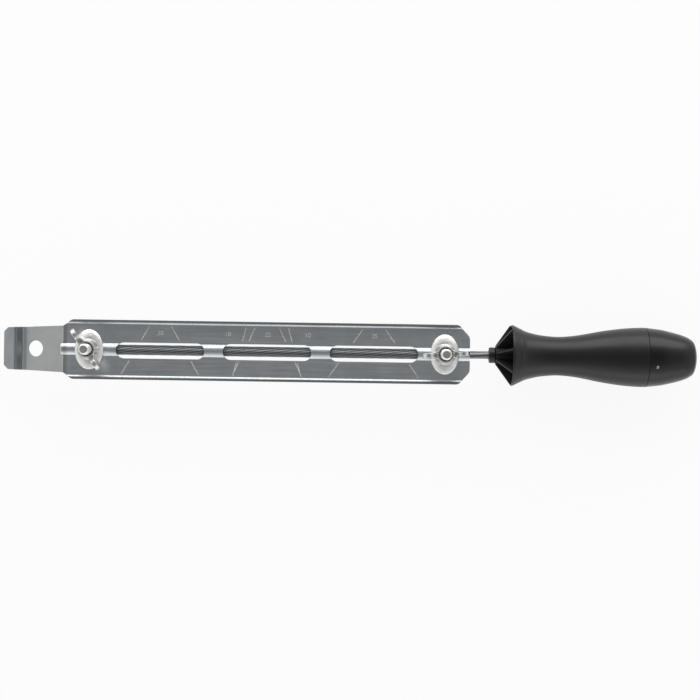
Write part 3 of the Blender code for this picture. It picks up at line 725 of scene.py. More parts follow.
def fold_tang(plate, sizes, middle):
    """Adds the folded tang and the ridge's closed nose."""
    path = rounded_path(tang_line(sizes, middle), sizes.tang_bend, 6)
    side = -sizes.tang_root / 2
    strip = drawn("tang_strip", [on_plate(sizes, x, side, z) for x, z in path])
    select_mesh()
    extrude((0, sizes.tang_root, 0))
    close_up()
    apply_modifier(strip, "SOLIDIFY", thickness=sizes.sheet, offset=0, use_even_offset=True)
    combine(plate, strip, "UNION")

    half_sheet = sizes.sheet / 2
    radius = (sizes.channel + half_sheet) * sizes.nose_share + half_sheet
    centre = middle * (1 - sizes.nose_share)
    root = on_plate(sizes, half_sheet - sizes.run / 2, 0, centre)
    slim = (1, sizes.nose_root, sizes.nose_root)
    level = middle - half_sheet / 2
    edge = sizes.nose_edge
    for label, size, reach, bend, low, operation in (
        ("nose", radius, sizes.nose, edge, level, "UNION"),
        ("nose_hollow", radius - sizes.sheet, sizes.nose - sizes.sheet, edge / 4, 0, "DIFFERENCE"),
    ):
        place = on_plate(sizes, -(sizes.run + reach) / 2, 0, centre)
        nose = cylinder(label, size, reach, place, math.pi / 2)
        choose("FACE", lambda face: face.normal.x > 0.9)
        extrude((half_sheet, 0, 0))
        resize(slim, root)
        tip = on_plate(sizes, -sizes.run / 2 - reach + SLIVER, 0, 0).x
        choose("EDGE", lambda edge: max(vert.co.x for vert in edge.verts) < tip)
        bpy.ops.mesh.bevel(offset=bend, segments=6, affect="EDGES")
        # Level below, and upright where the ridge's flanks reach the flat
        flank = math.sqrt(radius ** 2 - (middle + half_sheet - centre) ** 2) - radius + size
        for across, up, way in ((0, low, (0, 0, 1)), (-flank, 0, (0, 1, 0)), (flank, 0, (0, -1, 0))):
            slice_off(on_plate(sizes, 0, across, up), way, clear_inner=True)
        close_up()
        combine(plate, nose, operation)
    channel = saddle_low.x + sizes.sheet + sizes.nose - on_plate(sizes, -sizes.run / 2, 0, 0).x
    clear = bpy.context.scene.guide_file.across / 2 + 2 * SLIVER
    drill(plate, clear, channel, on_plate(sizes, (channel - sizes.run) / 2, 0, 0), math.pi / 2)


def blank_outline(sizes):
    """The pressing's outline from above."""
    rear, front = sizes.run / 2, -sizes.run / 2
    tip = front - sizes.slope_run - sizes.trough_run - sizes.step_run - sizes.lip_run
    half = plate_high.y
    lip = sizes.tang_tip / 2
    flank = [(front, sizes.tang_root / 2), (front + sizes.front_corner, half)]
    flank += [(rear - sizes.rear_corner_run, half), (rear, half - sizes.rear_corner_span)]
    flank.append((rear, 0))
    edge = [(tip, lip - sizes.lip_corner), (tip + sizes.lip_corner, lip)]
    edge += rounded_path(flank, sizes.rounding, 8)[:-1]
    return edge + [(x, -y) for x, y in reversed(edge)]


def window_outline(centre, run, span, radius):
    """A rounded rectangle from above."""
    outline = []
    for quarter, (sx, sy) in enumerate(((1, 1), (-1, 1), (-1, -1), (1, -1))):
        corner = (centre[0] + sx * (run / 2 - radius), centre[1] + sy * (span / 2 - radius))
        outline += arc(corner, radius, quarter * 90, quarter * 90 + 90, 8)
    return outline


# Stamped angle lines: the window they flank, their spread from its middle and their lean
ANGLE_LINES = ((-1, 0.0116, 30), (0, 0.0109, 25), (0, 0.0129, 15), (1, 0.0132, 35))
# Depth of the numerals against the lines, then each one's window, place beside its middle and angle
NUMERAL_DEPTH = 0.8
NUMERALS = ((-1, 0, "30"), (0, 0.0002, "25"), (0, -0.0185, "10"), (0, 0.0189, "10"), (1, 0.0002, "35"))


def stamp_marks(plate, sizes, windows, flat_top):
    """Stamps the leaning angle lines and their plain numerals."""
    tools = []
    bottom = flat_top - windows.mark_depth
    for window, spread, degrees in ANGLE_LINES:
        lean = math.tan(math.radians(degrees))
        half = windows.mark_width / 2 / math.cos(math.radians(degrees))
        for end, flank in ((-1, -1), (-1, 1), (1, -1), (1, 1)):
            near, far = flank * windows.mark_near, flank * windows.mark_far
            centre = window * windows.pitch + windows.shift + end * spread
            outline = [
                on_plate(sizes, centre - end * lean * reach + side * half, reach, bottom)
                for side, reach in ((-1, near), (1, near), (1, far), (-1, far))
            ]
            tools.append(prism("mark", outline, (0, 0, 2 * windows.mark_depth)))
    for window, aside, numeral in NUMERALS:
        select_only(None)
        along = window * windows.pitch + aside + windows.shift
        place = on_plate(sizes, along, windows.numeral_place, flat_top)
        bpy.ops.object.text_add(location=place)
        text = bpy.context.object.data
        text.body = numeral
        text.size = windows.numeral
        text.align_x = text.align_y = "CENTER"
        text.extrude = windows.mark_depth * NUMERAL_DEPTH
        text.resolution_u = 3
        bpy.ops.object.convert(target="MESH")
        tools.append(start("numeral"))
        close_up()
    for tool in tools:
        combine(plate, tool, "DIFFERENCE")


def is_rounded(edge, flat_top, windows, ridge_end):
    """Tells the sheet's sheared edges, which tumbling rounds, from its stamps and its ridge's end."""
    if not edge.is_convex or edge.calc_face_angle(0) < EDGE_ANGLE:
        return False
    middle = (edge.verts[0].co + edge.verts[1].co) / 2
    if middle.x < ridge_end and abs(middle.y) < windows.mark_near:
        return False
    beside = windows.mark_near - SLIVER < abs(middle.y) < windows.mark_far + SLIVER
    return not (beside and abs(middle.z - AXIS_HEIGHT - flat_top) < 2 * windows.mark_depth)


def model_plate(context):
    """The whole pressing, from its rolled section to its stamped lines."""
    sizes, windows = context.scene.guide_plate, context.scene.guide_windows
    plate, flat_top = press_section(sizes)
    middle = flat_top - sizes.sheet / 2
    fold_tang(plate, sizes, middle)
    low, high = on_plate(sizes, 0, 0, -BLANK_DEPTH), Vector((0, 0, 2 * BLANK_DEPTH))
    blank = prism("blank", [(low.x + x, y, low.z) for x, y in blank_outline(sizes)], high)
    combine(plate, blank, "INTERSECT")

    holes = []
    for k in (-1, 0, 1):
        centre = (windows.shift + k * windows.pitch, -windows.side_shift)
        holes.append((centre, windows.run, windows.span, windows.corner))
    for end in CLAMPS:
        eye_low, eye_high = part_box(end + "_eye_bolt")
        centre = ((eye_low.x + eye_high.x) / 2 - on_plate(sizes, 0, 0, 0).x, 0)
        run, span = eye_high.x - eye_low.x + 2 * GAP, eye_high.y - eye_low.y + 4 * GAP
        holes.append((centre, run, span, 2 * GAP))
    half_up = Vector((0, 0, sizes.channel + sizes.sheet + OVERRUN))
    for hole in holes:
        points = [on_plate(sizes, x, y, 0) for x, y in window_outline(*hole)]
        combine(plate, prism("hole", points, half_up), "DIFFERENCE")
    drop = sizes.hang_place * math.tan(sizes.slope)
    place = on_plate(sizes, -sizes.run / 2 - sizes.hang_place, 0, middle - drop)
    drill(plate, sizes.hang_hole / 2, sizes.hang_hole, place, -sizes.slope, 64)
    stamp_marks(plate, sizes, windows, flat_top)
    edit(plate)
    bpy.ops.mesh.remove_doubles(threshold=2 * DOT)
    bpy.ops.mesh.dissolve_limited(angle_limit=math.radians(0.5))
    ridge_end = saddle_low.x + sizes.sheet
    choose("EDGE", lambda edge: is_rounded(edge, flat_top, windows, ridge_end))
    bpy.ops.mesh.bevel(offset=sizes.edge, segments=2, affect="EDGES", clamp_overlap=False)
    close_up()

    rail_top = plate_high.z - DOT * 10
    walls = plate_high.y - sizes.sheet - sizes.rail_bend
    floor = AXIS_HEIGHT + flat_top
    lip = on_plate(sizes, -sizes.run / 2 - sizes.slope_run - sizes.trough_run, 0, 0).x
    paint(
        plate,
        ("zinc plated sheet", "zinc step with painted shade", "sheared sheet edge", "stamped line"),
        # The step up to the tang's lip, coloured darker as painted shade
        lambda face: -SLIVER < lip - face.calc_center_median().x < sizes.step_run,
        lambda face: is_sheared(face, rail_top, walls),
        lambda face: is_stamped(face, floor, windows),
    )
    finish_piece(plate, "guide", ["guide_plate"])


def is_sheared(face, rail_top, walls):
    """Tells the sheet's cut edges from its rolled faces."""
    middle = face.calc_center_median()
    if middle.z > rail_top:
        return True
    return abs(face.normal.z) < 0.3 and abs(middle.y) < walls and face.calc_area() < EDGE_FACE


def is_stamped(face, floor, windows):
    """Tells the bottoms and walls of the stamped lines from the flat round them."""
    middle = face.calc_center_median()
    beside = windows.mark_near - SLIVER < abs(middle.y) < windows.mark_far + SLIVER
    return beside and floor - 2 * windows.mark_depth < middle.z < floor - SLIVER / 4


def model_saddles(context):
    """Two domed oval pressings, lofted from the bore out and down, then given their sheet."""
    sizes = context.scene.guide_clamps
    bore = sizes.stud / 2 + GAP
    crown = saddle_high.z
    long, wide = (saddle_high.x - saddle_low.x) / 2, (saddle_high.y - saddle_low.y) / 2
    select_only(None)
    bpy.ops.mesh.primitive_circle_add(vertices=96, radius=bore, location=(0, 0, crown))
    saddle = start("front_saddle_pressing")
    here = (bore, bore, crown)
    flat_run, flat_span = sizes.crown_run, sizes.crown_span
    rings = [(flat_run, flat_span, crown)]
    for k in range(1, 10):
        lean = sizes.dome * k / 9
        reach = math.sin(lean) / math.sin(sizes.dome)
        rounded = (1 - math.cos(lean)) / (1 - math.cos(sizes.dome))
        fall = sizes.dome_fall * (sizes.cone * reach + (1 - sizes.cone) * rounded)
        across = flat_run + (long - flat_run) * reach
        rings.append((across, flat_span + (wide - flat_span) * reach, crown - fall))
    rings.append((long, wide, saddle_low.z))
    for there in rings:
        extrude((0, 0, there[2] - here[2]))
        resize((there[0] / here[0], there[1] / here[1], 1), (0, 0, there[2]))
        here = there
    close_up()
    apply_modifier(saddle, "SOLIDIFY", thickness=sizes.sheet, offset=-1, use_even_offset=True)
    arch = context.scene.guide_plate.channel + context.scene.guide_plate.sheet + GAP
    drill(saddle, arch, 2 * (long + OVERRUN), (0, 0, AXIS_HEIGHT), math.pi / 2)
    rounding = {"segments": 2, "limit_method": "ANGLE", "angle_limit": EDGE_ANGLE}
    apply_modifier(saddle, "BEVEL", width=sizes.washer_edge, **rounding)
    place_pair(saddle, "saddle_pressing", "saddle_washer")


def place_pair(piece, name, node, body=None, turns=(0, 0)):
    """Plates a piece modelled at the origin and sets it and its copy on the two clamps."""
    piece.data.materials.clear()
    piece.data.materials.append(bpy.data.materials["bright zinc plate"])
    other = twin(piece, "rear_" + name)
    for end, thing, turn in zip(CLAMPS, (piece, other), turns):
        if turn:
            swing(thing, turn, "Z")
        low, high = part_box(end + "_flat_washer")
        shift(thing, ((low.x + high.x) / 2, 0, 0))
        own = f"{end}_{body}" if body else "guide"
        finish_piece(thing, own, [f"{end}_{node}"])


def model_flat_washers(context):
    """Two stamped washers: a disc, inset on both faces and bridged through, edges rounded."""
    sizes = context.scene.guide_clamps
    rim, bore = (washer_high.y - washer_low.y) / 2, sizes.stud / 2 + GAP
    middle = (0, 0, (washer_high.z + washer_low.z) / 2)
    washer = cylinder("front_washer_ring", rim, washer_high.z - washer_low.z, middle)
    choose("FACE", lambda face: abs(face.normal.z) > 0.9)
    bpy.ops.mesh.inset(thickness=rim - bore)
    bpy.ops.mesh.bridge_edge_loops()
    choose("EDGE", lambda edge: abs(edge.verts[0].co.z - edge.verts[1].co.z) < DOT
           and abs(edge.verts[0].co.xy.length - edge.verts[1].co.xy.length) < DOT)
    bpy.ops.mesh.bevel(offset=sizes.washer_edge, segments=3, affect="EDGES")
    close_up()
    place_pair(washer, "washer_ring", "flat_washer")


# Thread form, in pitches: how deep and how far up each corner of its tooth lies
THREAD_FORM = ((0.54, 0), (0.54, 1 / 4), (0, 9 / 16), (0, 11 / 16), (0.54, 1))


def thread(name, radius, pitch, low, high):
    """A threaded rod: one tooth of the thread, screwed up and cut level at both ends."""
    tooth = [(radius - depth * pitch, 0, low - pitch + up * pitch) for depth, up in THREAD_FORM]
    rod = drawn(name, tooth)
    bpy.ops.object.mode_set(mode="OBJECT")
    turns = math.ceil((high - low) / pitch) + 2
    merge = {"use_merge_vertices": True, "merge_threshold": DOT}
    apply_modifier(
        rod, "SCREW", steps=40, render_steps=40, screw_offset=pitch, iterations=turns, **merge
    )
    edit(rod)
    for level, way in ((high, 1), (low, -1)):
        bpy.ops.mesh.remove_doubles(threshold=WELD)
        slice_off((0, 0, level), (0, 0, way), clear_outer=True)
        select_mesh()
    close_up()
    return rod


def model_eye_bolts(context):
    """Two eye bolts: a formed eye round the file and a threaded stud with a chamfered end."""
    sizes = context.scene.guide_clamps
    radius, edge = sizes.stud / 2, sizes.eye_edge
    outer = (bolt_high.y - bolt_low.y) / 2
    half = (bolt_high.x - bolt_low.x) / 2
    centre = bolt_low.z + outer
    bore = context.scene.guide_file.across / 2 + sizes.eye_play
    profile = [(-half + GAP, bore), (-half, bore + GAP), (-half, outer - edge)]
    profile += arc((-half + edge, outer - edge), edge, 180, 90, 5)[1:]
    profile += arc((half - edge, outer - edge), edge, 90, 0, 5)
    profile += [(half, bore + GAP), (half - GAP, bore)]
    points = [(x, 0, centre + r) for x, r in profile + profile[:1]]
    bolt = turned("front_threaded_eye_bolt", points, 72, (0, 0, centre), (1, 0, 0))

    foot, top = centre + (outer + bore) / 2, bolt_high.z
    rod = thread("stud", radius, sizes.pitch, foot, top)
    over, slim = radius + SLIVER, radius - sizes.chamfer
    point = [(0, foot - OVERRUN), (over, foot - OVERRUN), (over, top - sizes.chamfer - SLIVER)]
    point += [(slim, top), (slim / 2, top + SLIVER), (0, top + SLIVER)]
    combine(rod, turned("sleeve", [(x, 0, z) for x, z in point], 64), "INTERSECT")
    combine(bolt, rod, "UNION")
    place_pair(bolt, "threaded_eye_bolt", "eye_bolt", "bolt")


# Where the arc of a wing's tip begins and ends, in degrees from the wing's own direction
WING_ARC = (-42, 142)


def wing_blank(sizes, hand, span, rise, foot):
    """One wing, drawn from the side, thick at the hub and slim at its round tip."""
    tip = (span / 2 - sizes.wing_tip, rise - sizes.wing_tip)
    root = sizes.stud / 2 + 2 * GAP
    outline = [(root, sizes.hub_foot), (sizes.hub_base / 2, sizes.hub_foot)]
    outline += arc(tip, sizes.wing_tip, *WING_ARC, 16)
    outline += [(sizes.hub_top / 2, sizes.hub_rise), (root, sizes.hub_rise - 2 * GAP)]
    side = -sizes.wing_rim / 2
    wing = prism("wing", [(hand * x, side, foot + z) for x, z in outline], (0, sizes.wing_rim, 0))
    edit(wing)
    choose("VERT", lambda vert: abs(vert.co.x) < sizes.hub_base / 2 + DOT)
    resize((1, sizes.wing_root / sizes.wing_rim, 1), (0, 0, foot))
    close_up()
    return wing


def model_wing_nuts(context):
    """Two cast wing nuts: hub and wings run together by a remesh, then bored and faced."""
    sizes = context.scene.guide_clamps
    foot, rise = nut_low.z, nut_high.z - nut_low.z
    span = sizes.wing_span
    base, crown = sizes.hub_base / 2, sizes.hub_top / 2
    hub = [(0, foot), (base, foot), (base, foot + sizes.hub_foot)]
    hub += [(crown, foot + sizes.hub_rise), (0, foot + sizes.hub_rise)]
    nut = turned("front_wing_nut_casting", [(x, 0, z) for x, z in hub], 64)
    wings = [wing_blank(sizes, hand, span, rise, foot) for hand in (-1, 1)]
    gather([nut] + wings)
    nut.data.remesh_voxel_size = sizes.casting_grain
    bpy.ops.object.voxel_remesh()
    apply_modifier(nut, "SMOOTH", factor=0.5, iterations=14)
    drill_radius = sizes.stud / 2 + GAP
    lip = drill_radius + sizes.washer_edge * 2
    bore = [(0, foot - OVERRUN), (lip + OVERRUN, foot - OVERRUN), (lip, foot)]
    bore += [(drill_radius, foot + GAP), (drill_radius, foot + sizes.hub_rise - 2 * GAP)]
    bore += [(lip, foot + sizes.hub_rise), (lip, foot + rise), (0, foot + rise)]
    combine(nut, turned("bore", [(x, 0, z) for x, z in bore], 64), "DIFFERENCE")
    place_pair(nut, "wing_nut_casting", "wing_nut", "nut", (sizes.front_turn, sizes.rear_turn))


# Depths round one tooth, from the crest: its face rises slowly and drops steeply, as the
# chisel throws it up
TOOTH_DEPTH_SHARES = (0.0, 1.0, 0.85, 0.62, 0.36, 0.14)


def model_file(context):
    """The round file: a toothed ring extruded, subdivided and twisted, then neck and tang."""
    sizes = context.scene.guide_file
    radius, per_tooth = sizes.across / 2, len(TOOTH_DEPTH_SHARES)
    select_only(None)
    bpy.ops.mesh.primitive_circle_add(
        vertices=sizes.starts * per_tooth,
        radius=radius,
        location=(file_low.x, 0, 0),
        rotation=(0, math.pi / 2, 0),
    )
    rod = start("spiral_cut_file")
    corners = sorted(bmesh.from_edit_mesh(rod.data).verts, key=lambda v: math.atan2(v.co.z, v.co.y))
    order = [vert.index for vert in corners]
    for step, depth in enumerate(TOOTH_DEPTH_SHARES):
        if depth:
            wanted = set(order[step::per_tooth])
            choose("VERT", lambda vert: vert.index in wanted)
            size = 1 - sizes.cut_depth * depth / radius
            resize((1, size, size), (file_low.x, 0, 0))
    select_mesh()
    slim = 1 - sizes.end_chamfer / radius
    resize((1, slim, slim), (file_low.x, 0, 0))
    bpy.ops.mesh.edge_face_add()
    body = sizes.cut_run - sizes.end_chamfer
    neck_start = file_low.x + sizes.cut_run
    here = file_low.x
    for run, size, round_off in (
        (sizes.end_chamfer, 1 / slim, False),
        (body, 1.0, False),
        (sizes.taper, sizes.neck / 2 / radius, True),
        (sizes.neck_run - sizes.taper, 1.0, False),
        (file_high.x - neck_start - sizes.neck_run, sizes.tang_tip / sizes.neck, False),
    ):
        extrude((run, 0, 0))
        here += run
        if round_off:
            bpy.ops.transform.tosphere(value=1, center_override=(here, 0, 0))
        resize((1, size, size), (here, 0, 0))
    choose("EDGE", lambda edge: abs(edge.verts[0].co.x - edge.verts[1].co.x) > body * 0.9)
    bpy.ops.mesh.subdivide_edgering(number_cuts=150, interpolation="LINEAR", smoothness=0)
    close_up()
    turns = (file_high.x - file_low.x) * math.tan(sizes.lead) / radius
    apply_modifier(rod, "SIMPLE_DEFORM", deform_method="TWIST", deform_axis="X", angle=-turns)
    shift(rod, (0, 0, AXIS_HEIGHT))
    hardened_file_steel(context.scene.guide_finishes, neck_start)
    paint(rod, ["hardened file steel"])
    finish_piece(rod, "file", ["round_file"], sharp=50)


# Outline of the handle: shares of the way between its landmarks, and of the radius there
FRONT_FALL = ((0.15, 0.69), (0.29, 0.42), (0.53, 0.165), (0.775, 0.035))
REAR_RISE = ((0.17, 0.11), (0.32, 0.30), (0.54, 0.62), (0.79, 0.89))
CAP_DOME = ((0.28, 0.945), (0.48, 0.87), (0.69, 0.77), (0.84, 0.655), (0.93, 0.49))
# The cap's hollow against its dome, along and across
HOLLOW_RUN, HOLLOW_SPAN = 0.88, 0.84


def grip_outline(sizes, seam):
    """Radius of the grip against the distance from its front, from the rim to the seam."""
    rim, waist, belly = (grip_high.z - grip_low.z) / 2, sizes.waist / 2, sizes.belly / 2
    rim_place = sizes.cone + sizes.rim_bead
    fall, rise = sizes.waist_place - rim_place, sizes.belly_place - sizes.waist_place
    points = [(rim_place, rim)]
    points += [(rim_place + fall * along, waist + (rim - waist) * up) for along, up in FRONT_FALL]
    points.append((sizes.waist_place, waist))
    points += [
        (sizes.waist_place + rise * along, waist + (belly - waist) * up) for along, up in REAR_RISE
    ]
    return smooth_curve(points + [(sizes.belly_place, belly), (seam, belly)], 6)


def radius_at(outline, place):
    """Radius of an outline at a place between two of its points."""
    for (here, near), (there, far) in zip(outline, outline[1:]):
        if here <= place <= there:
            return near + (far - near) * (place - here) / (there - here)


def model_grip(context):
    """The hollow grip: turned shell, then eight ribs run into its bell."""
    sizes = context.scene.guide_handle
    front, seam = grip_low.x, grip_high.x - grip_low.x
    rim = (grip_high.z - grip_low.z) / 2
    bead = sizes.rim_bead / 2
    socket = context.scene.guide_file.neck / 2 + GAP
    core, collar = sizes.core / 2, sizes.collar / 2
    outer = grip_outline(sizes, seam)
    inner = [(x, r - sizes.wall) for x, r in reversed(outer)]
    bell = [point for point in inner if outer[3][0] < point[0] < sizes.floor_place]
    cavity = [point for point in inner if point[0] > sizes.socket_end + sizes.wall]
    edge = 2 * GAP
    profile = [(edge, socket), (0, socket + edge / 2), (0, collar - edge)]
    profile += arc((edge, collar - edge), edge, 180, 90, 4)[1:]
    profile += arc((sizes.collar_run - edge, collar - edge), edge, 90, 0, 4)
    profile += [(sizes.collar_run, core), (sizes.floor_place, core)]
    profile += [(sizes.floor_place, bell[0][1])] + bell
    profile += arc((sizes.cone + bead, rim - bead), bead, 250, 90, 10)
    lip = sizes.seam_edge
    crease, depth = sizes.crease, sizes.crease_depth
    profile += [point for point in outer if point[0] < crease - depth]
    for x, sink in ((crease - depth, 0), (crease, depth), (crease + 2 * depth, depth / 2)):
        profile.append((x, radius_at(outer, x) - sink))
    profile += [point for point in outer if crease + 4 * depth < point[0] < seam - lip]
    profile += arc((seam - lip, outer[-1][1] - lip), lip, 90, 0, 4)
    profile += [(seam, cavity[0][1])] + cavity
    profile += [(sizes.socket_end, cavity[-1][1]), (sizes.socket_end, socket)]
    points = [(front + x, 0, AXIS_HEIGHT + r) for x, r in profile + profile[:1]]
    grip = turned("ribbed_handle_grip", points, 128, (0, 0, AXIS_HEIGHT), (1, 0, 0))

    inside = (core + socket) / 2
    back = sizes.floor_place + sizes.wall / 2
    rib = [(sizes.collar_run, inside), (sizes.collar_run, core)]
    rib += [(sizes.rib_corner, rim - bead / 2), (sizes.cone + bead, rim - bead / 2)]
    rib += [(x, r + sizes.wall / 2) for x, r in reversed(bell)]
    rib += [(back, bell[0][1] + sizes.wall / 2), (back, inside)]
    first = prism("rib", [(front + x, -sizes.rib / 2, r) for x, r in rib], (0, sizes.rib, 0))
    ribs = [first] + [twin(first, "rib") for _ in range(sizes.ribs - 1)]
    for k, thing in enumerate(ribs):
        swing(thing, -sizes.rib_turn - math.tau * k / sizes.ribs, "X")
    gather(ribs)
    shift(first, (0, 0, AXIS_HEIGHT))
    combine(grip, first, "UNION")
    # The bell's hollow gets the darker plastic as painted shade, with the rougher finish of its
    # unpolished core
    low, high = front + sizes.collar_run, front + sizes.floor_place + SLIVER
    paint(
        grip,
        ("moulded black plastic", "bell core plastic with painted shade"),
        lambda face: low < face.calc_center_median().x < high
        and is_inside(face, front, outer, sizes.wall),
    )
    finish_piece(grip, "handle", ["handle_grip"], sharp=40)


def is_inside(face, front, outer, wall):
    """Tells the bell's inner walls, core and rib flanks from the shell and the slanted edges."""
    middle = face.calc_center_median()
    reach = math.hypot(middle.y, middle.z - AXIS_HEIGHT)
    shell = radius_at(outer, max(middle.x - front, outer[0][0]))
    return face.normal.x > -0.4 and reach < shell - wall / 2


def model_cap(context):
    """The domed cap with its spigot and the small nub of its moulding gate."""
    sizes = context.scene.guide_handle
    front, total = grip_low.x, cap_high.x - grip_low.x
    belly = sizes.belly / 2
    seam = grip_high.x - grip_low.x + GAP / 3
    run = total - seam
    outer = [(seam, belly)] + [(seam + run * along, belly * up) for along, up in CAP_DOME]
    outer = smooth_curve(outer + [(total, 0)], 8)
    spigot = belly - sizes.wall - GAP
    hollow = spigot - sizes.spigot
    inner = [(seam + (x - seam) * HOLLOW_RUN, min(r * HOLLOW_SPAN, hollow)) for x, r in outer]
    lip = sizes.seam_edge
    edge = arc((seam + lip, belly - lip), lip, 180, 90, 4)
    shell = [point for point in outer if point[0] > seam + lip]
    end = cap_low.x - front
    profile = shell[::-1] + edge[::-1] + [(seam, spigot), (end, spigot), (end, hollow)]
    profile += inner[:-1] + [(inner[-1][0], 0)]
    points = [(front + x, 0, AXIS_HEIGHT + r) for x, r in profile]
    cap = turned("domed_handle_cap", points, 128, (0, 0, AXIS_HEIGHT), (1, 0, 0))
    place = Vector((front + seam + sizes.gate_place, -sizes.gate_side, 0))
    reach = radius_at(outer, seam + sizes.gate_place) + sizes.gate_rise - sizes.gate
    place.z = AXIS_HEIGHT + math.sqrt(reach ** 2 - place.y ** 2)
    select_only(None)
    bpy.ops.mesh.primitive_uv_sphere_add(
        segments=24, ring_count=12, radius=sizes.gate, location=place
    )
    gate = start("gate")
    close_up()
    combine(cap, gate, "UNION")
    # The gate nub takes the pale plastic: a painted highlight
    paint(
        cap,
        ("moulded cap plastic", "gate nub with painted highlight"),
        lambda face: (face.calc_center_median() - place).length < sizes.gate,
    )
    finish_piece(cap, "handle", ["handle_end_cap"], sharp=40)


def floor_material(stage):
    """Pale studio floor that stays white behind the tool and keeps a soft shadow."""
    tree = new_material("studio floor", stage.floor, 0.0, 0.9)
    shader = tree.nodes["Principled BSDF"]
    shader.inputs["Specular IOR Level"].default_value = 0.0
    path = add_node(tree, "LightPath").outputs
    seen = path["Is Camera Ray"]
    for ray in ("Is Glossy Ray", "Is Transmission Ray"):
        links = {0: seen, 1: path[ray]}
        seen = add_node(tree, "Math", None, links, operation="MAXIMUM").outputs["Value"]
    white = add_node(tree, "Emission", {"Color": (1, 1, 1, 1), "Strength": 1.0})
    # What the camera sees is mostly even white, with a share of the lit floor for the shadow
    links = {1: shader.outputs["BSDF"], 2: white.outputs["Emission"]}
    veil = add_node(tree, "MixShader", {0: 0.9}, links)
    links = {0: seen, 1: shader.outputs["BSDF"], 2: veil.outputs["Shader"]}
    pick = add_node(tree, "MixShader", None, links)
    tree.links.new(pick.outputs["Shader"], tree.nodes["Material Output"].inputs["Surface"])


def studio_sky(stage):
    """A pale sky, greyer overhead and beyond the handle, as a dark studio wall leaves it."""
    world = bpy.data.worlds.new("studio sky")
    bpy.context.scene.world = world
    world.use_nodes = True
    tree = world.node_tree
    way = add_node(tree, "TexCoord").outputs["Generated"]
    parts = add_node(tree, "SeparateXYZ", None, {"Vector": way}).outputs
    # Greyer from about 30 degrees above the floor upwards
    values = {"From Min": 0.48, "From Max": 1.0, "To Min": stage.horizon, "To Max": stage.zenith}
    links = {"Value": parts["Z"]}
    overhead = add_node(tree, "MapRange", values, links, interpolation_type="SMOOTHSTEP")
    # Dimmer towards the handle's end
    values = {"From Min": 0.25, "From Max": 0.8, "To Min": 1.0, "To Max": stage.far_end}
    beyond = add_node(tree, "MapRange", values, {"Value": parts["X"]})
    links = {0: overhead.outputs["Result"], 1: beyond.outputs["Result"]}
    strength = add_node(tree, "Math", None, links, operation="MULTIPLY")
    background = tree.nodes["Background"]
    background.inputs["Color"].default_value = (1, 1, 1, 1)
    tree.links.new(strength.outputs["Value"], background.inputs["Strength"])


def set_stage(context):
    """Floor, sky, two side lamps and the camera."""
    stage = context.scene.guide_stage
    select_only(None)
    bpy.ops.mesh.primitive_plane_add(size=6.0, location=(0, 0, 0))
    floor = bpy.context.object
    floor.name = "studio_floor"
    floor_material(stage)
    floor.data.materials.append(bpy.data.materials["studio floor"])
    studio_sky(stage)
    boxes = (
        ("left_softbox", (0, 0.84, 0.34), 0.66, stage.left_light),
        ("right_softbox", (0, -0.88, 0.20), 0.36, stage.right_light),
    )
    for name, place, rise, power in boxes:
        place = Vector(place)
        bpy.ops.object.light_add(type="AREA", location=place)
        lamp = bpy.context.object
        lamp.name = name
        lamp.data.shape = "RECTANGLE"
        lamp.data.size = 2.0
        lamp.data.size_y = rise
        lamp.data.energy = power
        lamp.rotation_euler = place.to_track_quat("Z", "Y").to_euler()
        lamp.visible_camera = False
    bpy.ops.object.camera_add(
        location=(stage.view_x, stage.view_y, AXIS_HEIGHT + stage.distance),
        rotation=(0, 0, stage.roll),
    )
    camera = bpy.context.object
    camera.name = "overhead_camera"
    camera.data.lens = stage.lens
    camera.data.sensor_width = 36.0
    camera.data.clip_start = 0.01
    context.scene.camera = camera
    context.scene.view_settings.view_transform = "Standard"


class FILEGUIDE_OT_materials(bpy.types.Operator):
    """Make the metal and plastic finishes that the pieces share"""

    bl_idname = "file_guide.materials"
    bl_label = "Finishes"

    def execute(self, context):
        finishes = context.scene.guide_finishes
        zinc_plated_sheet("zinc plated sheet", finishes.zinc_pale, finishes.zinc_deep)
        # The step up to the tang's lip: the sheet's pattern in darker colours, as painted shade
        zinc_plated_sheet("zinc step with painted shade", finishes.step_shade_pale, finishes.step_shade_deep)
        sheared_edge(finishes)
        stamped_line(finishes)
        bright_zinc(finishes)
        moulded_plastic("moulded black plastic", finishes.plastic, 0.30, 0.40)
        moulded_plastic("moulded cap plastic", finishes.cap_plastic, 0.24, 0.32)
        # The gate nub: pale plastic as a painted highlight
        moulded_plastic("gate nub with painted highlight", finishes.gate_highlight_plastic, 0.45, 0.60)
        # The bell's hollow: darker plastic as painted shade, rougher for the unpolished core
        moulded_plastic("bell core plastic with painted shade", finishes.bell_shade_plastic, 0.60, 0.72)
        return {"FINISHED"}


class FILEGUIDE_OT_plate(bpy.types.Operator):
    """Press the guide plate with its rails, ridge, windows and tang"""

    bl_idname = "file_guide.plate"
    bl_label = "Guide plate"

    def execute(self, context):
        model_plate(context)
        return {"FINISHED"}


class FILEGUIDE_OT_saddles(bpy.types.Operator):
    """Press the two domed saddle washers"""

    bl_idname = "file_guide.saddles"
    bl_label = "Saddle washers"

    def execute(self, context):
        model_saddles(context)
        return {"FINISHED"}


class FILEGUIDE_OT_washers(bpy.types.Operator):
    """Stamp the two flat washers"""

    bl_idname = "file_guide.washers"
    bl_label = "Flat washers"

    def execute(self, context):
        model_flat_washers(context)
        return {"FINISHED"}


class FILEGUIDE_OT_bolts(bpy.types.Operator):
    """Form the two eye bolts and cut their threads"""

    bl_idname = "file_guide.bolts"
    bl_label = "Eye bolts"

    def execute(self, context):
        model_eye_bolts(context)
        return {"FINISHED"}


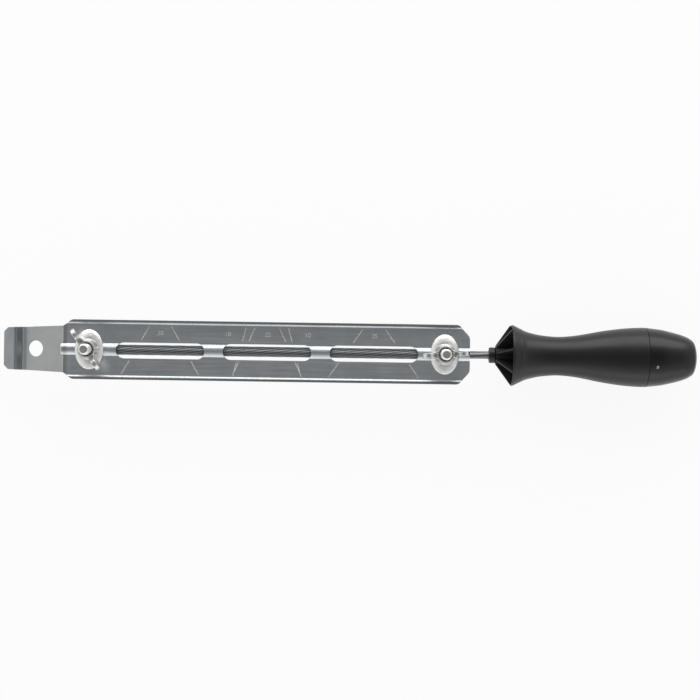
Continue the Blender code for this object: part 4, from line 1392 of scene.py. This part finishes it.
class FILEGUIDE_OT_nuts(bpy.types.Operator):
    """Cast and bore the two wing nuts"""

    bl_idname = "file_guide.nuts"
    bl_label = "Wing nuts"

    def execute(self, context):
        model_wing_nuts(context)
        return {"FINISHED"}


class FILEGUIDE_OT_file(bpy.types.Operator):
    """Cut the round file and taper its tang"""

    bl_idname = "file_guide.file"
    bl_label = "Round file"

    def execute(self, context):
        model_file(context)
        return {"FINISHED"}


class FILEGUIDE_OT_grip(bpy.types.Operator):
    """Mould the ribbed handle grip"""

    bl_idname = "file_guide.grip"
    bl_label = "Handle grip"

    def execute(self, context):
        model_grip(context)
        return {"FINISHED"}


class FILEGUIDE_OT_cap(bpy.types.Operator):
    """Mould the domed end cap"""

    bl_idname = "file_guide.cap"
    bl_label = "Handle end cap"

    def execute(self, context):
        model_cap(context)
        return {"FINISHED"}


class FILEGUIDE_OT_stage(bpy.types.Operator):
    """Set the floor, sky, lamps and camera"""

    bl_idname = "file_guide.stage"
    bl_label = "Stage"

    def execute(self, context):
        set_stage(context)
        return {"FINISHED"}


OPERATORS = (
    FILEGUIDE_OT_materials,
    FILEGUIDE_OT_plate,
    FILEGUIDE_OT_saddles,
    FILEGUIDE_OT_washers,
    FILEGUIDE_OT_bolts,
    FILEGUIDE_OT_nuts,
    FILEGUIDE_OT_file,
    FILEGUIDE_OT_grip,
    FILEGUIDE_OT_cap,
    FILEGUIDE_OT_stage,
)

GROUPS = {
    "guide_plate": GuidePlateSizes,
    "guide_windows": WindowSizes,
    "guide_clamps": ClampSizes,
    "guide_file": FileSizes,
    "guide_handle": HandleSizes,
    "guide_finishes": Finishes,
    "guide_stage": StageSettings,
}


class FILEGUIDE_PT_panel(bpy.types.Panel):
    """Lists the pieces of the file guide"""

    bl_idname = "FILEGUIDE_PT_panel"
    bl_label = "Chainsaw File Guide"
    bl_space_type = "VIEW_3D"
    bl_region_type = "UI"
    bl_category = "File Guide"

    def draw(self, context):
        for operator in OPERATORS:
            self.layout.operator(operator.bl_idname)


CLASSES = (*GROUPS.values(), *OPERATORS, FILEGUIDE_PT_panel)


def register():
    """Registers the classes and hangs the sizes and colours on the scene."""
    for cls in CLASSES:
        bpy.utils.register_class(cls)
    for name, group in GROUPS.items():
        setattr(bpy.types.Scene, name, PointerProperty(type=group))


def unregister():
    """Takes the sizes, the colours and the classes away again."""
    for name in GROUPS:
        delattr(bpy.types.Scene, name)
    for cls in reversed(CLASSES):
        bpy.utils.unregister_class(cls)


def main():
    """Makes every piece in order."""
    register()
    for operator in OPERATORS:
        family, name = operator.bl_idname.split(".")
        getattr(getattr(bpy.ops, family), name)()


if __name__ == "__main__":
    main()
